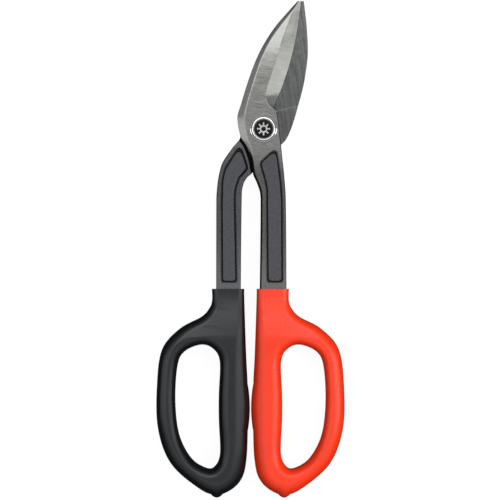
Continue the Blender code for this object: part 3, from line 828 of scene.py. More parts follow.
class ForgedHalf:
    """One forged half: blade, pivot plate, shank and the steel bow inside its grip."""

    TIP_Y = 83.3
    BLADE_START = 20.0
    END_Y = -116.0
    STRETCHES = ((-110.0, -54.0, 12), (-48.0, 7.0, 48), (8.0, 19.4, 24))
    THROAT_START = 12.9
    THROAT_RUN = 1.5
    THROAT_END = 11.0
    STEEPEST_GRIND = 0.42

    def __init__(self, side: Side, lines: HalfLines, sizes: HalfSizes) -> None:
        """Keeps the half's lines as rails.

        Args:
            side: Which half it is.
            lines: The lines that shape it.
            sizes: Sizes shared by both halves.
        """
        self.side = side
        self.sizes = sizes
        self.node = "upper_blade_half" if side is Side.UPPER else "lower_blade_half"
        self.rails = [Rail(line) for line in (lines.cut, lines.ridge, lines.bevel, lines.back)]
        self.thickness = Rail(((83.3, 2.4), (66.0, 3.648), (48.0, 4.8), (34.0, 5.0), (-116.0, 5.0)))
        shank_drop = 2.4 if side is Side.UPPER else 0.6
        self.back_drop = Rail(((83.3, 0.9), (60.0, 1.4), (15.0, 1.6), (-12.0, 1.6), (-46.2, shank_drop),
                               (-116.0, shank_drop)))

    def make(self, tang: Callable[[str], bpy.types.Object]) -> bpy.types.Object:
        """Makes the half, without the pockets for its inlays.

        Args:
            tang: Makes the steel bow inside the grip.

        Returns:
            The half.
        """
        obj = self._blank()
        carve(obj, tang("tang"), "UNION")
        carve(obj, self._swing_room(), "DIFFERENCE")
        if self.side is Side.LOWER:
            carve(obj, self._relief(), "DIFFERENCE")
        radius = self.sizes.bore / 2
        carve(obj, prism("bore", turned_outline(radius, 72), -5.0, 30.0), "DIFFERENCE")
        return obj

    def cut_pocket(self, obj: bpy.types.Object, corners: Sequence[Pair], face: Side) -> None:
        """Cuts a pocket with a softened lip.

        Args:
            obj: The half.
            corners: Corners of the pocket.
            face: Which face of the tool it opens in.
        """
        sizes = self.sizes
        deep = sizes.half_height - sizes.pocket_depth
        lip = 0.22
        outline = soften(corners, 2.2, 6)
        wide = inset(outline, -lip)
        shell = Shell()
        heights = (deep, sizes.half_height - lip, sizes.half_height, sizes.half_height + 2.0)
        rings = [[(x, y, sizes.shear_z + face.value * height) for x, y in ring]
                 for ring, height in zip((outline, outline, wide, wide), heights)]
        shell.column(rings, has_hollow_ends=True)
        carve(obj, shell.build("pocket"), "DIFFERENCE")

    def _blank(self) -> bpy.types.Object:
        """The forged blank, at full thickness from tip to tang."""
        shell = Shell()
        shell.column([self._section(y) for y in self._stations()])
        return shell.build(piece_name(self.node))

    def _stations(self) -> list[float]:
        """The y values of the sections: close along the blade and plate, far along the shank."""
        count = int((self.TIP_Y - self.BLADE_START) / self.sizes.spacing)
        marks = [self.END_Y]
        for low, high, sections in (*self.STRETCHES, (self.BLADE_START, self.TIP_Y, count)):
            marks += list(np.linspace(low, high, sections))
        return marks

    def _section(self, y: float) -> list[Triple]:
        """One section of the half, with its corners rounded."""
        sizes = self.sizes
        cut, ridge, bevel, back = (rail.at(y) for rail in self.rails)
        face = sizes.gap / 2 + self.thickness.at(y)
        far = -sizes.half_height
        inward = math.copysign(sizes.edge_break, back - cut)
        drop = self.back_drop.at(y)
        ground = abs(ridge - cut)
        edge = self._edge(y, face, ground)
        sag = sizes.hollow * smooth_share(ground, 5.0, 8.5)
        middle = ((cut + ridge) / 2, (edge + face) / 2 - sag)
        corners = [(cut + inward, far), (cut, far + sizes.edge_break), (cut, edge), middle, (ridge, face),
                   (bevel, face), (back, face - drop), (back, far + sizes.edge_break), (back - inward, far)]
        soft = sizes.rounding * (1.0 - 0.5 * smooth_share(y, 40.0, 80.0))
        radii = [0.5, 0.5, sizes.rounding, 1.6, 0.3, 0.4 + soft, 0.3, 0.5, 0.5]
        outline = fillet(corners, radii, 3)
        return [(x, y, sizes.shear_z + self.side.value * height) for x, height in outline]

    def _edge(self, y: float, face: float, ground: float) -> float:
        """Height of the cutting side, which climbs to the face at the throat.

        Args:
            y: Place along the tool.
            face: Height of the flat face there.
            ground: Width of the ground face there.

        Returns:
            The height above the shear plane.
        """
        low = self.sizes.gap / 2 + self.sizes.edge_land
        high = face - self.sizes.edge_break
        edge = low + (high - low) * min(max((self.THROAT_START - y) / self.THROAT_RUN, 0.0), 1.0)
        return max(edge, face - self.STEEPEST_GRIND * ground) if y > self.THROAT_END else edge

    def _relief(self) -> bpy.types.Object:
        """The cutter for the shallow hollow in the inner face, which starts just beyond the pivot plate."""
        top = self.sizes.shear_z + 1.0
        depth = 0.14
        floor = self.sizes.shear_z - self.sizes.gap / 2 - depth
        shell = Shell()
        rings = []
        for x, start in ((4.0, 10.4), (40.0, 18.9)):
            rings.append([(x, start - 0.3, top), (x, start, floor + depth), (x, start + 0.45, floor),
                          (x, 95.0, floor), (x, 95.0, top)])
        shell.column(rings)
        return shell.build("relief")

    def _swing_room(self) -> bpy.types.Object:
        """The cutter that leaves one half room to swing over the other, up to the shank's wall."""
        sizes = self.sizes
        shear = sizes.shear_z + self.side.value * sizes.gap / 2
        beyond = sizes.shear_z - self.side.value * (sizes.half_height + 2.0)
        reach = 124.0
        if self.side is Side.UPPER:
            angles = np.radians(np.linspace(-38.0, -88.0, 26))
            radius = sizes.swing_radius
            wall = [(radius * math.cos(angle), radius * math.sin(angle)) for angle in angles]
            wall += fillet(UPPER_WALL, [0.0, 2.0, 2.0, 0.0], 4, closed=False)[5:]
            outline = wall + [(-reach, wall[-1][1]), (-reach, reach), (reach, reach), (reach, wall[0][1])]
        else:
            wall = fillet(LOWER_WALL, [0.0, 0.8, 1.5, 2.5, 2.5, 2.0, 0.0], 4, closed=False)[4:-4]
            outline = wall + [(reach, wall[-1][1]), (reach, reach), (-reach, reach), (-reach, wall[0][1])]
        return prism("swing_room", outline, min(shear, beyond), max(shear, beyond))


# Soft grips ---------------------------------------------------------------------------------------


@dataclass(frozen=True)
class BowPoint:
    """One point of a grip's outline, with how the skin rolls over the edge there.

    Attributes:
        out: Distance out from the plane between the grips, in millimetres.
        down: Distance below the grip's mouth, in millimetres.
        wide: How far in from the outline the skin starts to roll over.
        tall: Height of the rounding below the grip's face.
    """

    out: float
    down: float
    wide: float
    tall: float


OUTER_SKIN = (
    BowPoint(4.3, -8.0, 3.4, 3.4), BowPoint(9.0, -12.5, 3.4, 3.4), BowPoint(14.4, -14.0, 3.4, 3.4),
    BowPoint(20.0, -12.5, 3.4, 3.4), BowPoint(24.9, -8.0, 3.4, 3.4), BowPoint(24.9, 6.7, 4.6, 4.8),
    BowPoint(26.7, 12.4, 5.2, 5.6), BowPoint(31.9, 18.1, 5.8, 6.8), BowPoint(45.9, 25.8, 6.4, 8.0),
    BowPoint(57.4, 39.1, 6.6, 8.4), BowPoint(60.8, 62.0, 6.6, 8.4), BowPoint(60.2, 90.6, 6.6, 8.4),
    BowPoint(51.8, 113.5, 7.0, 8.4), BowPoint(33.6, 129.7, 7.6, 8.6), BowPoint(21.9, 134.0, 8.0, 8.8),
    BowPoint(11.6, 130.0, 8.4, 9.0), BowPoint(5.0, 122.0, 8.8, 9.2), BowPoint(2.5, 110.0, 9.0, 9.2),
    BowPoint(1.8, 95.0, 9.0, 9.2), BowPoint(1.75, 84.0, 9.0, 9.2), BowPoint(1.8, 72.0, 9.0, 9.0),
    BowPoint(1.9, 60.0, 8.8, 8.8), BowPoint(2.8, 42.0, 7.6, 8.0), BowPoint(4.0, 6.0, 4.4, 4.8))

INNER_SKIN = (
    BowPoint(32.8, 36.3, 5.2, 7.0), BowPoint(24.9, 38.4, 5.6, 7.4), BowPoint(20.0, 46.8, 6.2, 7.8),
    BowPoint(20.6, 68.7, 6.6, 8.2), BowPoint(20.6, 85.0, 6.6, 8.2), BowPoint(19.8, 106.9, 6.4, 8.2),
    BowPoint(23.4, 115.6, 6.0, 8.0), BowPoint(29.1, 116.4, 5.8, 7.8), BowPoint(38.6, 110.0, 5.2, 7.4),
    BowPoint(46.3, 95.0, 4.8, 7.2), BowPoint(48.9, 73.5, 4.6, 7.0), BowPoint(47.6, 50.6, 4.6, 7.0),
    BowPoint(43.2, 41.0, 4.8, 7.0))


OUTLINE_OF_BOW = (
    (4.3, -8.0), (9.0, -12.5), (14.4, -14.0), (20.0, -12.5), (24.9, -8.0), (24.9, 6.7), (26.7, 12.4),
    (31.9, 18.1), (45.9, 25.8), (57.4, 39.1), (60.8, 62.0), (60.2, 90.6), (51.8, 113.5), (33.6, 129.7),
    (21.9, 134.0), (11.6, 130.0), (5.0, 122.0), (2.5, 110.0), (1.6, 95.0), (0.35, 84.0), (0.35, 72.0),
    (1.9, 60.0), (2.8, 42.0), (4.0, 6.0))


@dataclass(frozen=True)
class GripSizes:
    """Sizes of a grip, in millimetres.

    Attributes:
        plane_x: The grips mirror each other across this plane.
        mouth_y: Where a grip's mouth is.
        middle_z: Height of the grip's middle.
        wall: Cover over the side of the steel bow.
        gap: Room between the cover and the steel.
        shank_half: Half the thickness of the shank.
        mouth_half: Half the thickness at the mouth.
        bow_half: Half the thickness of the bow.
        swell: Length over which the mouth swells to the bow.
        stop_down: Distance of the stop between the grips below the mouth.
        stop_length: Half the length of that stop.
        stop_reach: How far the stop sticks out.
        nib_out: Distance of the nib out from the mirror plane.
        nib_length: Half the length of the nib.
        nib_reach: How far the nib sticks out.
    """

    plane_x: float = -8.5
    mouth_y: float = -104.0
    middle_z: float = 11.0
    wall: float = 3.4
    gap: float = 0.3
    shank_half: float = 5.15
    mouth_half: float = 8.2
    bow_half: float = 11.0
    swell: float = 32.0
    stop_down: float = 77.0
    stop_length: float = 15.0
    stop_reach: float = 1.45
    nib_out: float = 21.9
    nib_length: float = 3.8
    nib_reach: float = 1.9


class SoftGrip:
    """A soft cover moulded over one steel bow, with a finger loop, a stop and a nib."""

    PER_SPAN = 8
    LAYERS = 10

    def __init__(self, side: Side, sizes: GripSizes) -> None:
        """Sets out the curves of one grip.

        Args:
            side: Which half it covers.
            sizes: Sizes of the grip.
        """
        self.side = side
        self.sizes = sizes
        self.node = "red_grip" if side is Side.UPPER else "black_grip"

    def make(self, shank: Sequence[Rail]) -> bpy.types.Object:
        """Makes the cover.

        Args:
            shank: The two rails along the sides of the shank that goes into the mouth.

        Returns:
            The grip.
        """
        obj = self._skin()
        sizes = self.sizes
        carve(obj, self._mouth_cut(), "DIFFERENCE")
        carve(obj, self.bow("tang_room", sizes.wall, 4.85), "DIFFERENCE")
        carve(obj, self._shank_room(shank), "DIFFERENCE")
        return obj

    def bow(self, name: str, cover: float, rise: float) -> bpy.types.Object:
        """A square-edged bow inside the grip.

        Args:
            name: Name of the solid.
            cover: How far in from the grip's outline it stays.
            rise: Half its thickness.

        Returns:
            The bow.
        """
        shell = Shell()
        middle = self.sizes.middle_z
        loops = []
        outer = [BowPoint(out, down, 0.0, 0.0) for out, down in OUTLINE_OF_BOW]
        for outline, sign in ((outer, 1.0), (INNER_SKIN, -1.0)):
            curve = self._curve(outline, 3)[:, :2]
            moved = inset([tuple(point) for point in curve], sign * cover)
            rings = [[(x, y, middle + height) for x, y in moved] for height in (-rise, rise)]
            start = shell.rings(rings)
            size = len(moved)
            loops.append((range(start, start + size), range(start + size, start + 2 * size)))
        shell.cap(loops[0][0], loops[1][0])
        shell.cap(loops[0][1], loops[1][1])
        return shell.build(name)

    def _curve(self, skin: Sequence[BowPoint], per_span: int) -> np.ndarray:
        """A smooth closed curve through the points, running anticlockwise.

        Args:
            skin: The curve's points.
            per_span: Points to each span.

        Returns:
            Rows of x, y, width and height of the rounding.
        """
        sizes = self.sizes
        rows = np.array([(sizes.plane_x + self.side.value * point.out, sizes.mouth_y - point.down,
                          point.wide, point.tall) for point in skin])
        curve = []
        for index in range(len(rows)):
            a, b, c, d = (rows[(index + step) % len(rows)] for step in (-1, 0, 1, 2))
            for t in np.arange(per_span) / per_span:
                curve.append(0.5 * (2 * b + (c - a) * t + (2 * a - 5 * b + 4 * c - d) * t * t
                                    + (3 * b - a - 3 * c + d) * t ** 3))
        curve = np.array(curve)
        return curve if area(curve[:, :2]) > 0 else curve[::-1]

    def _half_height(self, y: float) -> float:
        """Half the grip's thickness, which swells from the mouth to the bow."""
        sizes = self.sizes
        share = smooth_share(sizes.mouth_y - y, 0.0, sizes.swell)
        return sizes.mouth_half + (sizes.bow_half - sizes.mouth_half) * share

    def _lobe(self, x: float, y: float, level: float) -> float:
        """How far the stop or the nib pushes the skin out.

        Args:
            x: Place of the outline's point.
            y: Place of the outline's point.
            level: Height above the grip's middle, as a share of half its thickness.

        Returns:
            The push in millimetres.
        """
        sizes = self.sizes
        down = sizes.mouth_y - y
        out = abs(x - sizes.plane_x)
        push = 0.0
        if out < 10.0 and abs(down - sizes.stop_down) < sizes.stop_length:
            along = math.cos((down - sizes.stop_down) / sizes.stop_length * math.pi / 2)
            push += sizes.stop_reach * along ** 0.8 * (1.0 - level * level) ** 1.6
        if down > 110.0 and abs(out - sizes.nib_out) < sizes.nib_length:
            along = math.cos((out - sizes.nib_out) / sizes.nib_length * math.pi / 2)
            push += sizes.nib_reach * along ** 0.9 * (1.0 - level * level) ** 1.5
        return push

    def _skin(self) -> bpy.types.Object:
        """The closed skin of the grip, before its insides are cut out."""
        shell = Shell()
        turns = np.linspace(0.0, math.pi / 2, self.LAYERS)
        layers = [(-1, -turn) for turn in turns[::-1]] + [(1, turn) for turn in turns]
        ends = []
        for skin, sign in ((OUTER_SKIN, 1.0), (INNER_SKIN, -1.0)):
            curve = self._curve(skin, self.PER_SPAN)
            outline = [tuple(point) for point in curve[:, :2]]
            normals = np.array(inset(outline, sign)) - np.array(outline)
            normals /= np.linalg.norm(normals, axis=1)[:, None]
            rings = [self._ring(curve, normals, face, turn, sign > 0) for face, turn in layers]
            ends.append((shell.rings(rings), len(outline)))
        for layer in (0, len(layers) - 1):
            shell.cap(*[range(start + layer * size, start + (layer + 1) * size) for start, size in ends])
        return shell.build(piece_name(self.node))

    def _ring(self, curve: np.ndarray, normals: np.ndarray, face: int, turn: float,
              has_lobes: bool) -> list[Triple]:
        """One ring of the skin, on the rounding between its side and its upper or lower face.

        Args:
            curve: Rows of x, y, width and height of the rounding.
            normals: Directions into the grip.
            face: 1 for the upper rounding, -1 for the lower.
            turn: Angle of the ring on the rounding, from level at 0.
            has_lobes: Whether the stop and the nib are on this curve.

        Returns:
            The points of the ring.
        """
        ring = []
        for (x, y, wide, tall), (nx, ny) in zip(curve, normals):
            half = self._half_height(y)
            height = face * (half - tall) + tall * math.sin(turn)
            move = wide * (1.0 - math.cos(turn))
            if has_lobes:
                move -= self._lobe(x, y, height / half)
            ring.append((x + nx * move, y + ny * move, self.sizes.middle_z + height))
        return ring

    def _mouth_cut(self) -> bpy.types.Object:
        """The cutter for the flat mouth."""
        sizes = self.sizes
        outline = [(-130.0, sizes.mouth_y), (130.0, sizes.mouth_y), (130.0, sizes.mouth_y + 40.0),
                   (-130.0, sizes.mouth_y + 40.0)]
        return prism("mouth_cut", outline, -10.0, 32.0)

    def _shank_room(self, shank: Sequence[Rail]) -> bpy.types.Object:
        """The room for the shank inside the mouth.

        Args:
            shank: The rails along both sides of the shank.

        Returns:
            The cutter.
        """
        sizes = self.sizes
        top = sizes.mouth_y + 12.0
        end = ForgedHalf.END_Y - sizes.gap
        low, high = sorted(rail.at(-110.0) for rail in shank)
        low_end, high_end = sorted(rail.at(ForgedHalf.END_Y) for rail in shank)
        outline = [(low - sizes.gap, top), (low_end - sizes.gap, end), (high_end + sizes.gap, end),
                   (high + sizes.gap, top)]
        half = sizes.shank_half + sizes.gap
        return prism("shank_room", outline, sizes.middle_z - half, sizes.middle_z + half)


# Inlays and pivot hardware ------------------------------------------------------------------------


@dataclass(frozen=True)
class InlaySizes:
    """Sizes of the shank inlays, in millimetres.

    Attributes:
        gap: Room around an inlay in its pocket.
        groove: Width of the border around the pad.
        border: Thickness of the border.
        below_rim: How far the pad stays below the face of the shank.
        edge: Radius of the pad's rounded edge.
        corner: How far the rounding of each corner starts from it.
    """

    gap: float = 0.3
    groove: float = 0.85
    border: float = 0.2
    below_rim: float = 0.15
    edge: float = 0.35
    corner: float = 2.0


class ShankInlay:
    """A moulded inlay: a thin border that fills the pocket, and a grained pad inside its groove."""

    def __init__(self, node: str, corners: Sequence[Pair], face: Side, sizes: InlaySizes) -> None:
        """Sets out one inlay.

        Args:
            node: Name of its CAD node.
            corners: Corners of its pocket.
            face: Which face of the tool it is set in.
            sizes: Sizes of the inlay.
        """
        self.node = node
        self.corners = corners
        self.face = face
        self.sizes = sizes

    def make(self, half: HalfSizes) -> bpy.types.Object:
        """Makes the inlay.

        Args:
            half: Sizes of the half that it is set in.

        Returns:
            The inlay.
        """
        sizes = self.sizes
        floor = half.half_height - half.pocket_depth + sizes.gap
        top = half.half_height - sizes.below_rim
        foot = floor + sizes.border
        levels = [(sizes.gap, floor), (sizes.gap, foot - 0.1), (sizes.gap + 0.1, foot),
                  (sizes.gap + sizes.groove, foot), (sizes.gap + sizes.groove, top - sizes.edge)]
        for turn in np.linspace(0.0, math.pi / 2, 6)[1:]:
            pull = sizes.gap + sizes.groove + sizes.edge * (1.0 - math.cos(turn))
            levels.append((pull, top - sizes.edge * (1.0 - math.sin(turn))))
        shell = Shell()
        rings = [self._ring(pull, half.shear_z + self.face.value * height) for pull, height in levels]
        shell.column(rings, has_hollow_ends=True)
        return shell.build(piece_name(self.node))

    def _ring(self, pull: float, z: float) -> list[Triple]:
        """The pocket's outline moved inwards, with rounded corners, at one height."""
        moved = inset(self.corners, pull)
        return [(x, y, z) for x, y in soften(moved, self.sizes.corner, 6)]


@dataclass(frozen=True)
class PivotSizes:
    """Sizes of the pivot hardware, in millimetres.

    Attributes:
        bolt_radius: Radius of the bolt's shank.
        flange_radius: Radius of the flange under its head.
        head_low: Height where the head starts.
        head_top: Height of the head's top.
        crown: Radius of the head's crown.
        recess: Radius of the recess for the cap.
        recess_floor: Height of the recess's floor.
        cap_radius: Radius of the cap.
        cap_top: Height of the cap's rim.
        badge_low: Height of the badge's foot.
        badge_top: Height of its face.
        hub: Radius of the badge's hub.
        hub_hole: Radius of the hole in it.
        tick_reach: Radius of the tips of its ticks.
        ticks: How many ticks it has.
        washer_radius: Radius of the spring washer.
        washer_low: Height of the washer's foot.
        washer_top: Height of its face.
        washer_split: Width of the split through it.
        nut_flats: Size of the nut across its flats.
        nut_top: Height of the nut.
        hole: Radius of the hole through washer and nut.
        segments: Points around a turned piece.
    """

    bolt_radius: float = 5.0
    flange_radius: float = 9.0
    head_low: float = 16.45
    head_top: float = 20.35
    crown: float = 8.1
    recess: float = 6.5
    recess_floor: float = 17.95
    cap_radius: float = 6.2
    cap_top: float = 19.2
    badge_low: float = 19.1
    badge_top: float = 19.9
    hub: float = 2.4
    hub_hole: float = 1.5
    tick_reach: float = 4.2
    ticks: int = 8
    washer_radius: float = 8.5
    washer_low: float = 4.55
    washer_top: float = 5.55
    washer_split: float = 1.2
    nut_flats: float = 16.0
    nut_top: float = 4.25
    hole: float = 5.3
    segments: int = 120


class PivotHardware:
    """The flanged bolt with its cap and badge, the split spring washer and the nut."""

    def __init__(self, sizes: PivotSizes) -> None:
        """Keeps the sizes."""
        self.sizes = sizes

    def turned(self, name: str, profile: Sequence[Pair]) -> bpy.types.Object:
        """A solid of revolution about the pivot axis.

        Args:
            name: Name of the piece.
            profile: (radius, z) points from the foot's rim to the top's, both flat ends inside them.

        Returns:
            The piece.
        """
        count = self.sizes.segments
        shell = Shell()
        shell.column([[(x, y, z) for x, y in turned_outline(radius, count)] for radius, z in profile])
        return shell.build(name)

    def bolt(self) -> bpy.types.Object:
        """The bolt: a plain shank, a thin flange and a crowned rim around the recess."""
        sizes = self.sizes
        low, top = sizes.head_low, sizes.head_top
        flange, crown, recess = sizes.flange_radius, sizes.crown, sizes.recess
        corners = [(4.5, 0.0), (sizes.bolt_radius, 0.5), (sizes.bolt_radius, low), (flange, low),
                   (flange, low + 0.75), (flange - 0.55, low + 1.15), (crown, low + 1.35),
                   (crown - 0.12, top - 0.9), (crown - 0.55, top - 0.15), (crown - 1.2, top),
                   (recess + 0.25, top - 0.12), (recess, top - 0.5), (recess, sizes.recess_floor)]
        radii = [0.0, 0.1, 0.1, 0.15, 0.3, 0.25, 0.12, 0.5, 0.5, 0.35, 0.22, 0.1, 0.0]
        return self.turned(piece_name("pivot_bolt"), fillet(corners, radii, 4, closed=False)[4:-4])

    def cap(self) -> bpy.types.Object:
        """The black disc in the bolt head, with the faintest dome."""
        sizes = self.sizes
        low, top = sizes.recess_floor + 0.3, sizes.cap_top
        radius = sizes.cap_radius
        rim = radius - 0.25
        profile = [(radius, low), (radius, top - 0.25), (radius - 0.08, top - 0.08), (rim, top)]
        profile += [(share * rim, top + 0.04 * (1.0 - share * share)) for share in (0.8, 0.6, 0.4, 0.2)]
        return self.turned(piece_name("bolt_cap"), profile)

    def badge(self) -> bpy.types.Object:
        """A plain cog-shaped badge: a hub ring with short radial ticks."""
        sizes = self.sizes
        corners = []
        for tick in range(sizes.ticks):
            middle = 360.0 * tick / sizes.ticks
            for radius, turn in ((sizes.hub, -11.0), (sizes.tick_reach, -7.0), (sizes.tick_reach, 7.0),
                                 (sizes.hub, 11.0)):
                angle = math.radians(middle + turn)
                corners.append((radius * math.cos(angle), radius * math.sin(angle)))
        outline = fillet(corners, [0.3] * len(corners), 3)
        angles = [math.atan2(y, x) for x, y in outline]
        edge = 0.14
        small = inset(outline, edge)

        def hole(radius: float, z: float) -> list[Triple]:
            """A ring of the hole, with its points at the outline's angles."""
            return [(radius * math.cos(angle), radius * math.sin(angle), z) for angle in angles]

        low, top = sizes.badge_low, sizes.badge_top
        rings = [[(x, y, low) for x, y in outline], [(x, y, top - edge) for x, y in outline],
                 [(x, y, top) for x, y in small], hole(sizes.hub_hole + edge, top),
                 hole(sizes.hub_hole, top - edge), hole(sizes.hub_hole, low)]
        shell = Shell()
        shell.rings(rings, closed=True)
        return shell.build(piece_name("cap_badge"))

    def washer(self) -> bpy.types.Object:
        """The split spring washer, its ends sprung slightly apart."""
        sizes = self.sizes
        low, top, soft = sizes.washer_low, sizes.washer_top, 0.12
        inner, outer = sizes.hole, sizes.washer_radius
        profile = [(inner + soft, low), (outer - soft, low), (outer, low + soft), (outer, top - soft),
                   (outer - soft, top), (inner + soft, top), (inner, top - soft), (inner, low + soft)]
        half_turn = sizes.washer_split / 2 / outer
        rings = []
        for angle in np.linspace(half_turn, 2 * math.pi - half_turn, sizes.segments):
            rings.append([(radius * math.cos(angle), radius * math.sin(angle), z) for radius, z in profile])
        shell = Shell()
        shell.column(rings)
        return shell.build(piece_name("spring_washer"))

    def nut(self) -> bpy.types.Object:
        """The thin six-sided nut, turned to a cone at both ends, with a chamfered hole."""
        sizes = self.sizes
        per_side = 20
        count = 6 * per_side
        flat = sizes.nut_flats / 2
        corner = flat / math.cos(math.pi / 6)
        angles = [2 * math.pi * step / count for step in range(count)]
        reach = [flat / math.cos((angle + math.pi / 6) % (math.pi / 3) - math.pi / 6) for angle in angles]
        face = corner - 0.95
        rings = []
        for drop in (0.0, 0.25, 0.55):
            limit = face + drop * 1.75
            rings.append([(min(r, limit), drop) for r in reach])
        levels = [[(r, z) for r, z in ring] for ring in rings]
        levels += [[(r, sizes.nut_top - z) for r, z in ring] for ring in reversed(rings)]
        hole = [(sizes.hole + 0.4, sizes.nut_top), (sizes.hole, sizes.nut_top - 0.4), (sizes.hole, 0.4),
                (sizes.hole + 0.4, 0.0)]
        levels += [[(r, z)] * count for r, z in hole]
        shell = Shell()
        shell.rings([[(r * math.cos(angle), r * math.sin(angle), z) for (r, z), angle in zip(level, angles)]
                     for level in levels], closed=True)
        return shell.build(piece_name("pivot_nut"))


# Studio -------------------------------------------------------------------------------------------


@dataclass(frozen=True)
class SoftBox:
    """One large soft light.

    Attributes:
        name: Name of the light.
        place: Where it hangs, in metres.
        aim: The point it faces, in metres.
        size: Its two sides, in metres.
        power: Its power in watts.
        is_mirrored: Whether shiny surfaces mirror it.
    """

    name: str
    place: Triple
    aim: Triple
    size: Pair
    power: float
    is_mirrored: bool = True


class Studio:
    """A pale table, a soft sky and soft boxes, with the camera straight above the tool."""

    LENS = 300.0
    CAMERA = (-0.0088, -0.0787, 2.723)
    SKY = ((-1.0, 0.02), (0.0, 0.04), (0.2, 0.12), (0.45, 0.38), (0.6, 0.52), (0.85, 0.58), (0.93, 0.95),
           (0.98, 1.0), (0.996, 0.42), (1.0, 0.38))
    SKY_STRENGTH = 1.3

    def __init__(self, low: float) -> None:
        """Keeps the height of the table.

        Args:
            low: Height of the tool's lowest point, in metres.
        """
        self.low = low

    def build(self) -> None:
        """Makes the table, sky, lights and camera."""
        self._floor()
        self._sky()
        for box in self._boxes():
            self._light(box)
        self._camera()
        view = bpy.context.scene.view_settings
        view.view_transform = "Standard"
        view.look = "None"

    def _boxes(self) -> list[SoftBox]:
        """The soft boxes: one beyond the tips, one low at each side, and one that only lights the colours."""
        return [SoftBox("tip_box", (0.0, 0.735, 1.5), (0.0, 0.735, 0.0), (1.3, 1.1), 8.0),
                SoftBox("left_box", (-0.6, -0.12, 0.42), (-0.04, -0.12, 0.0), (0.3, 0.9), 0.7),
                SoftBox("right_box", (0.6, -0.12, 0.42), (0.03, -0.12, 0.0), (0.3, 0.9), 1.2),
                SoftBox("key_box", (0.9, -0.15, 0.85), (0.0, -0.12, 0.0), (0.6, 0.9), 12.0,
                        is_mirrored=False)]

    def _floor(self) -> None:
        """A plain white table just below the tool, which the tool itself doesn't mirror."""
        graph = Graph("white_table")
        graph.set(Base_Color=(0.1, 0.1, 0.1, 1.0), Roughness=1.0, Specular_IOR_Level=0.0,
                  Emission_Color=(1.0, 1.0, 1.0, 1.0), Emission_Strength=0.93)
        reach = 3000.0
        level = (self.low - 0.0002) / MM
        shell = Shell()
        shell.points = [(-reach, -reach, level), (reach, -reach, level), (reach, reach, level),
                        (-reach, reach, level)]
        shell.plate(range(4))
        floor = shell.build("table")
        dress(floor, graph.material)
        floor.visible_diffuse = False
        floor.visible_glossy = False

    def _sky(self) -> None:
        """A soft sky: a broad bright ring around a dim zenith, and dark below the horizon."""
        world = bpy.data.worlds.new("studio_sky")
        world.use_nodes = True
        tree = world.node_tree
        where = tree.nodes.new("ShaderNodeTexCoord")
        axes = tree.nodes.new("ShaderNodeSeparateXYZ")
        tree.links.new(where.outputs["Generated"], axes.inputs[0])
        share = tree.nodes.new("ShaderNodeMapRange")
        share.inputs["From Min"].default_value = -1.0
        tree.links.new(axes.outputs[2], share.inputs["Value"])
        ramp = tree.nodes.new("ShaderNodeValToRGB")
        ramp.color_ramp.interpolation = "LINEAR"
        stops = ramp.color_ramp.elements
        for _ in range(len(self.SKY) - 2):
            stops.new(0.5)
        for stop, (height, glow) in zip(stops, self.SKY):
            stop.position = (height + 1.0) / 2
            stop.color = (glow, glow, glow * 1.01, 1.0)
        tree.links.new(share.outputs[0], ramp.inputs[0])
        background = tree.nodes["Background"]
        tree.links.new(ramp.outputs[0], background.inputs[0])
        background.inputs[1].default_value = self.SKY_STRENGTH
        bpy.context.scene.world = world

    def _light(self, box: SoftBox) -> None:
        """Hangs one soft box."""
        data = bpy.data.lights.new(box.name, "AREA")
        data.shape = "RECTANGLE"
        data.size, data.size_y = box.size
        data.energy = box.power
        light = bpy.data.objects.new(box.name, data)
        light.location = box.place
        light.visible_glossy = box.is_mirrored
        light.rotation_euler = (Vector(box.aim) - Vector(box.place)).to_track_quat("-Z", "Y").to_euler()
        bpy.context.scene.collection.objects.link(light)

    def _camera(self) -> None:
        """Hangs the camera straight above the tool, its top towards the tips."""
        data = bpy.data.cameras.new("camera")
        data.lens = self.LENS
        data.sensor_width = 36.0
        data.clip_end = 20.0
        camera = bpy.data.objects.new("camera", data)
        camera.location = self.CAMERA
        bpy.context.scene.collection.objects.link(camera)
        bpy.context.scene.camera = camera


# The tool -----------------------------------------------------------------------------------------


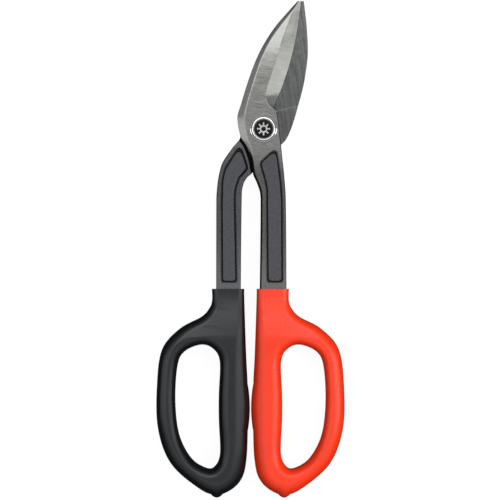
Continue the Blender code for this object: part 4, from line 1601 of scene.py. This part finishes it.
class Snips:
    """The whole tool, put together from its sub-assemblies."""

    def __init__(self) -> None:
        """Sets out the sizes, the two halves and their finishes."""
        self.half_sizes = HalfSizes()
        self.grip_sizes = GripSizes()
        inlay_sizes = InlaySizes()
        pad_rise = (self.half_sizes.half_height - inlay_sizes.below_rim) * MM
        self.finishes = Finishes(self.half_sizes.shear_z * MM, pad_rise)
        self.halves = {side: ForgedHalf(side, lines, self.half_sizes)
                       for side, lines in ((Side.UPPER, UPPER_LINES), (Side.LOWER, LOWER_LINES))}
        self.inlays = {
            Side.UPPER: [ShankInlay("right_front_inlay", RIGHT_FRONT_POCKET, Side.UPPER, inlay_sizes),
                         ShankInlay("right_back_inlay", RIGHT_BACK_POCKET, Side.LOWER, inlay_sizes)],
            Side.LOWER: [ShankInlay("left_front_inlay", LEFT_POCKET, Side.UPPER, inlay_sizes),
                         ShankInlay("left_back_inlay", LEFT_POCKET, Side.LOWER, inlay_sizes)]}

    def build(self) -> None:
        """Makes both halves with their grips and inlays, then the pivot hardware."""
        for side in Side:
            self._half(side)
        self._pivot()

    def _half(self, side: Side) -> None:
        """Makes one half, its grip and its two inlays.

        Args:
            side: Which half.
        """
        grip = SoftGrip(side, self.grip_sizes)
        half = self.halves[side]
        cover = self.grip_sizes.wall + self.grip_sizes.gap
        steel = half.make(lambda name: grip.bow(name, cover, 4.55))
        for inlay in self.inlays[side]:
            half.cut_pocket(steel, inlay.corners, inlay.face)
            pad = inlay.make(self.half_sizes)
            self._finish(pad, self.finishes.inlay, side, "dark_grey_inlay", inlay.node)
        slot = "forged_steel" if side is Side.UPPER else "dark_forged_steel"
        self._finish(steel, self.finishes.steel[side], side, slot, half.node, 14.0)
        cover_piece = grip.make([half.rails[0], half.rails[3]])
        slot = "orange_red_vinyl" if side is Side.UPPER else "black_vinyl"
        self._finish(cover_piece, self.finishes.vinyl[side], side, slot, grip.node, 40.0)

    def _pivot(self) -> None:
        """Makes the bolt, cap, badge, washer and nut, which stay with the lower half."""
        hardware = PivotHardware(PivotSizes())
        finishes = self.finishes
        pieces = (("pivot_bolt", hardware.bolt, finishes.chrome, "chrome"),
                  ("bolt_cap", hardware.cap, finishes.enamel, "black_cap"),
                  ("cap_badge", hardware.badge, finishes.chrome, "chrome"),
                  ("spring_washer", hardware.washer, finishes.zinc, "zinc_plate"),
                  ("pivot_nut", hardware.nut, finishes.zinc, "zinc_plate"))
        for node, make, material, slot in pieces:
            self._finish(make(), material, Side.LOWER, slot, node)

    @staticmethod
    def _finish(obj: bpy.types.Object, material: bpy.types.Material, side: Side, slot: str, node: str,
                sharp_angle: float = 32.0) -> None:
        """Dresses and shades a piece and hands it to the frame.

        Args:
            obj: The piece.
            material: Its finish.
            side: The half that it moves with.
            slot: The record's material slot.
            node: The CAD node that it stands for.
            sharp_angle: Edges sharper than this many degrees stay crisp.
        """
        dress(obj, material)
        settle(obj, sharp_angle)
        enter(obj, side, slot, node)


def main() -> None:
    """Builds the tool and the studio around it."""
    logging.basicConfig(level=logging.INFO, format="%(name)s: %(message)s")
    Snips().build()
    Studio(CAD_BOX[0][2]).build()


if __name__ == "__main__":
    main()
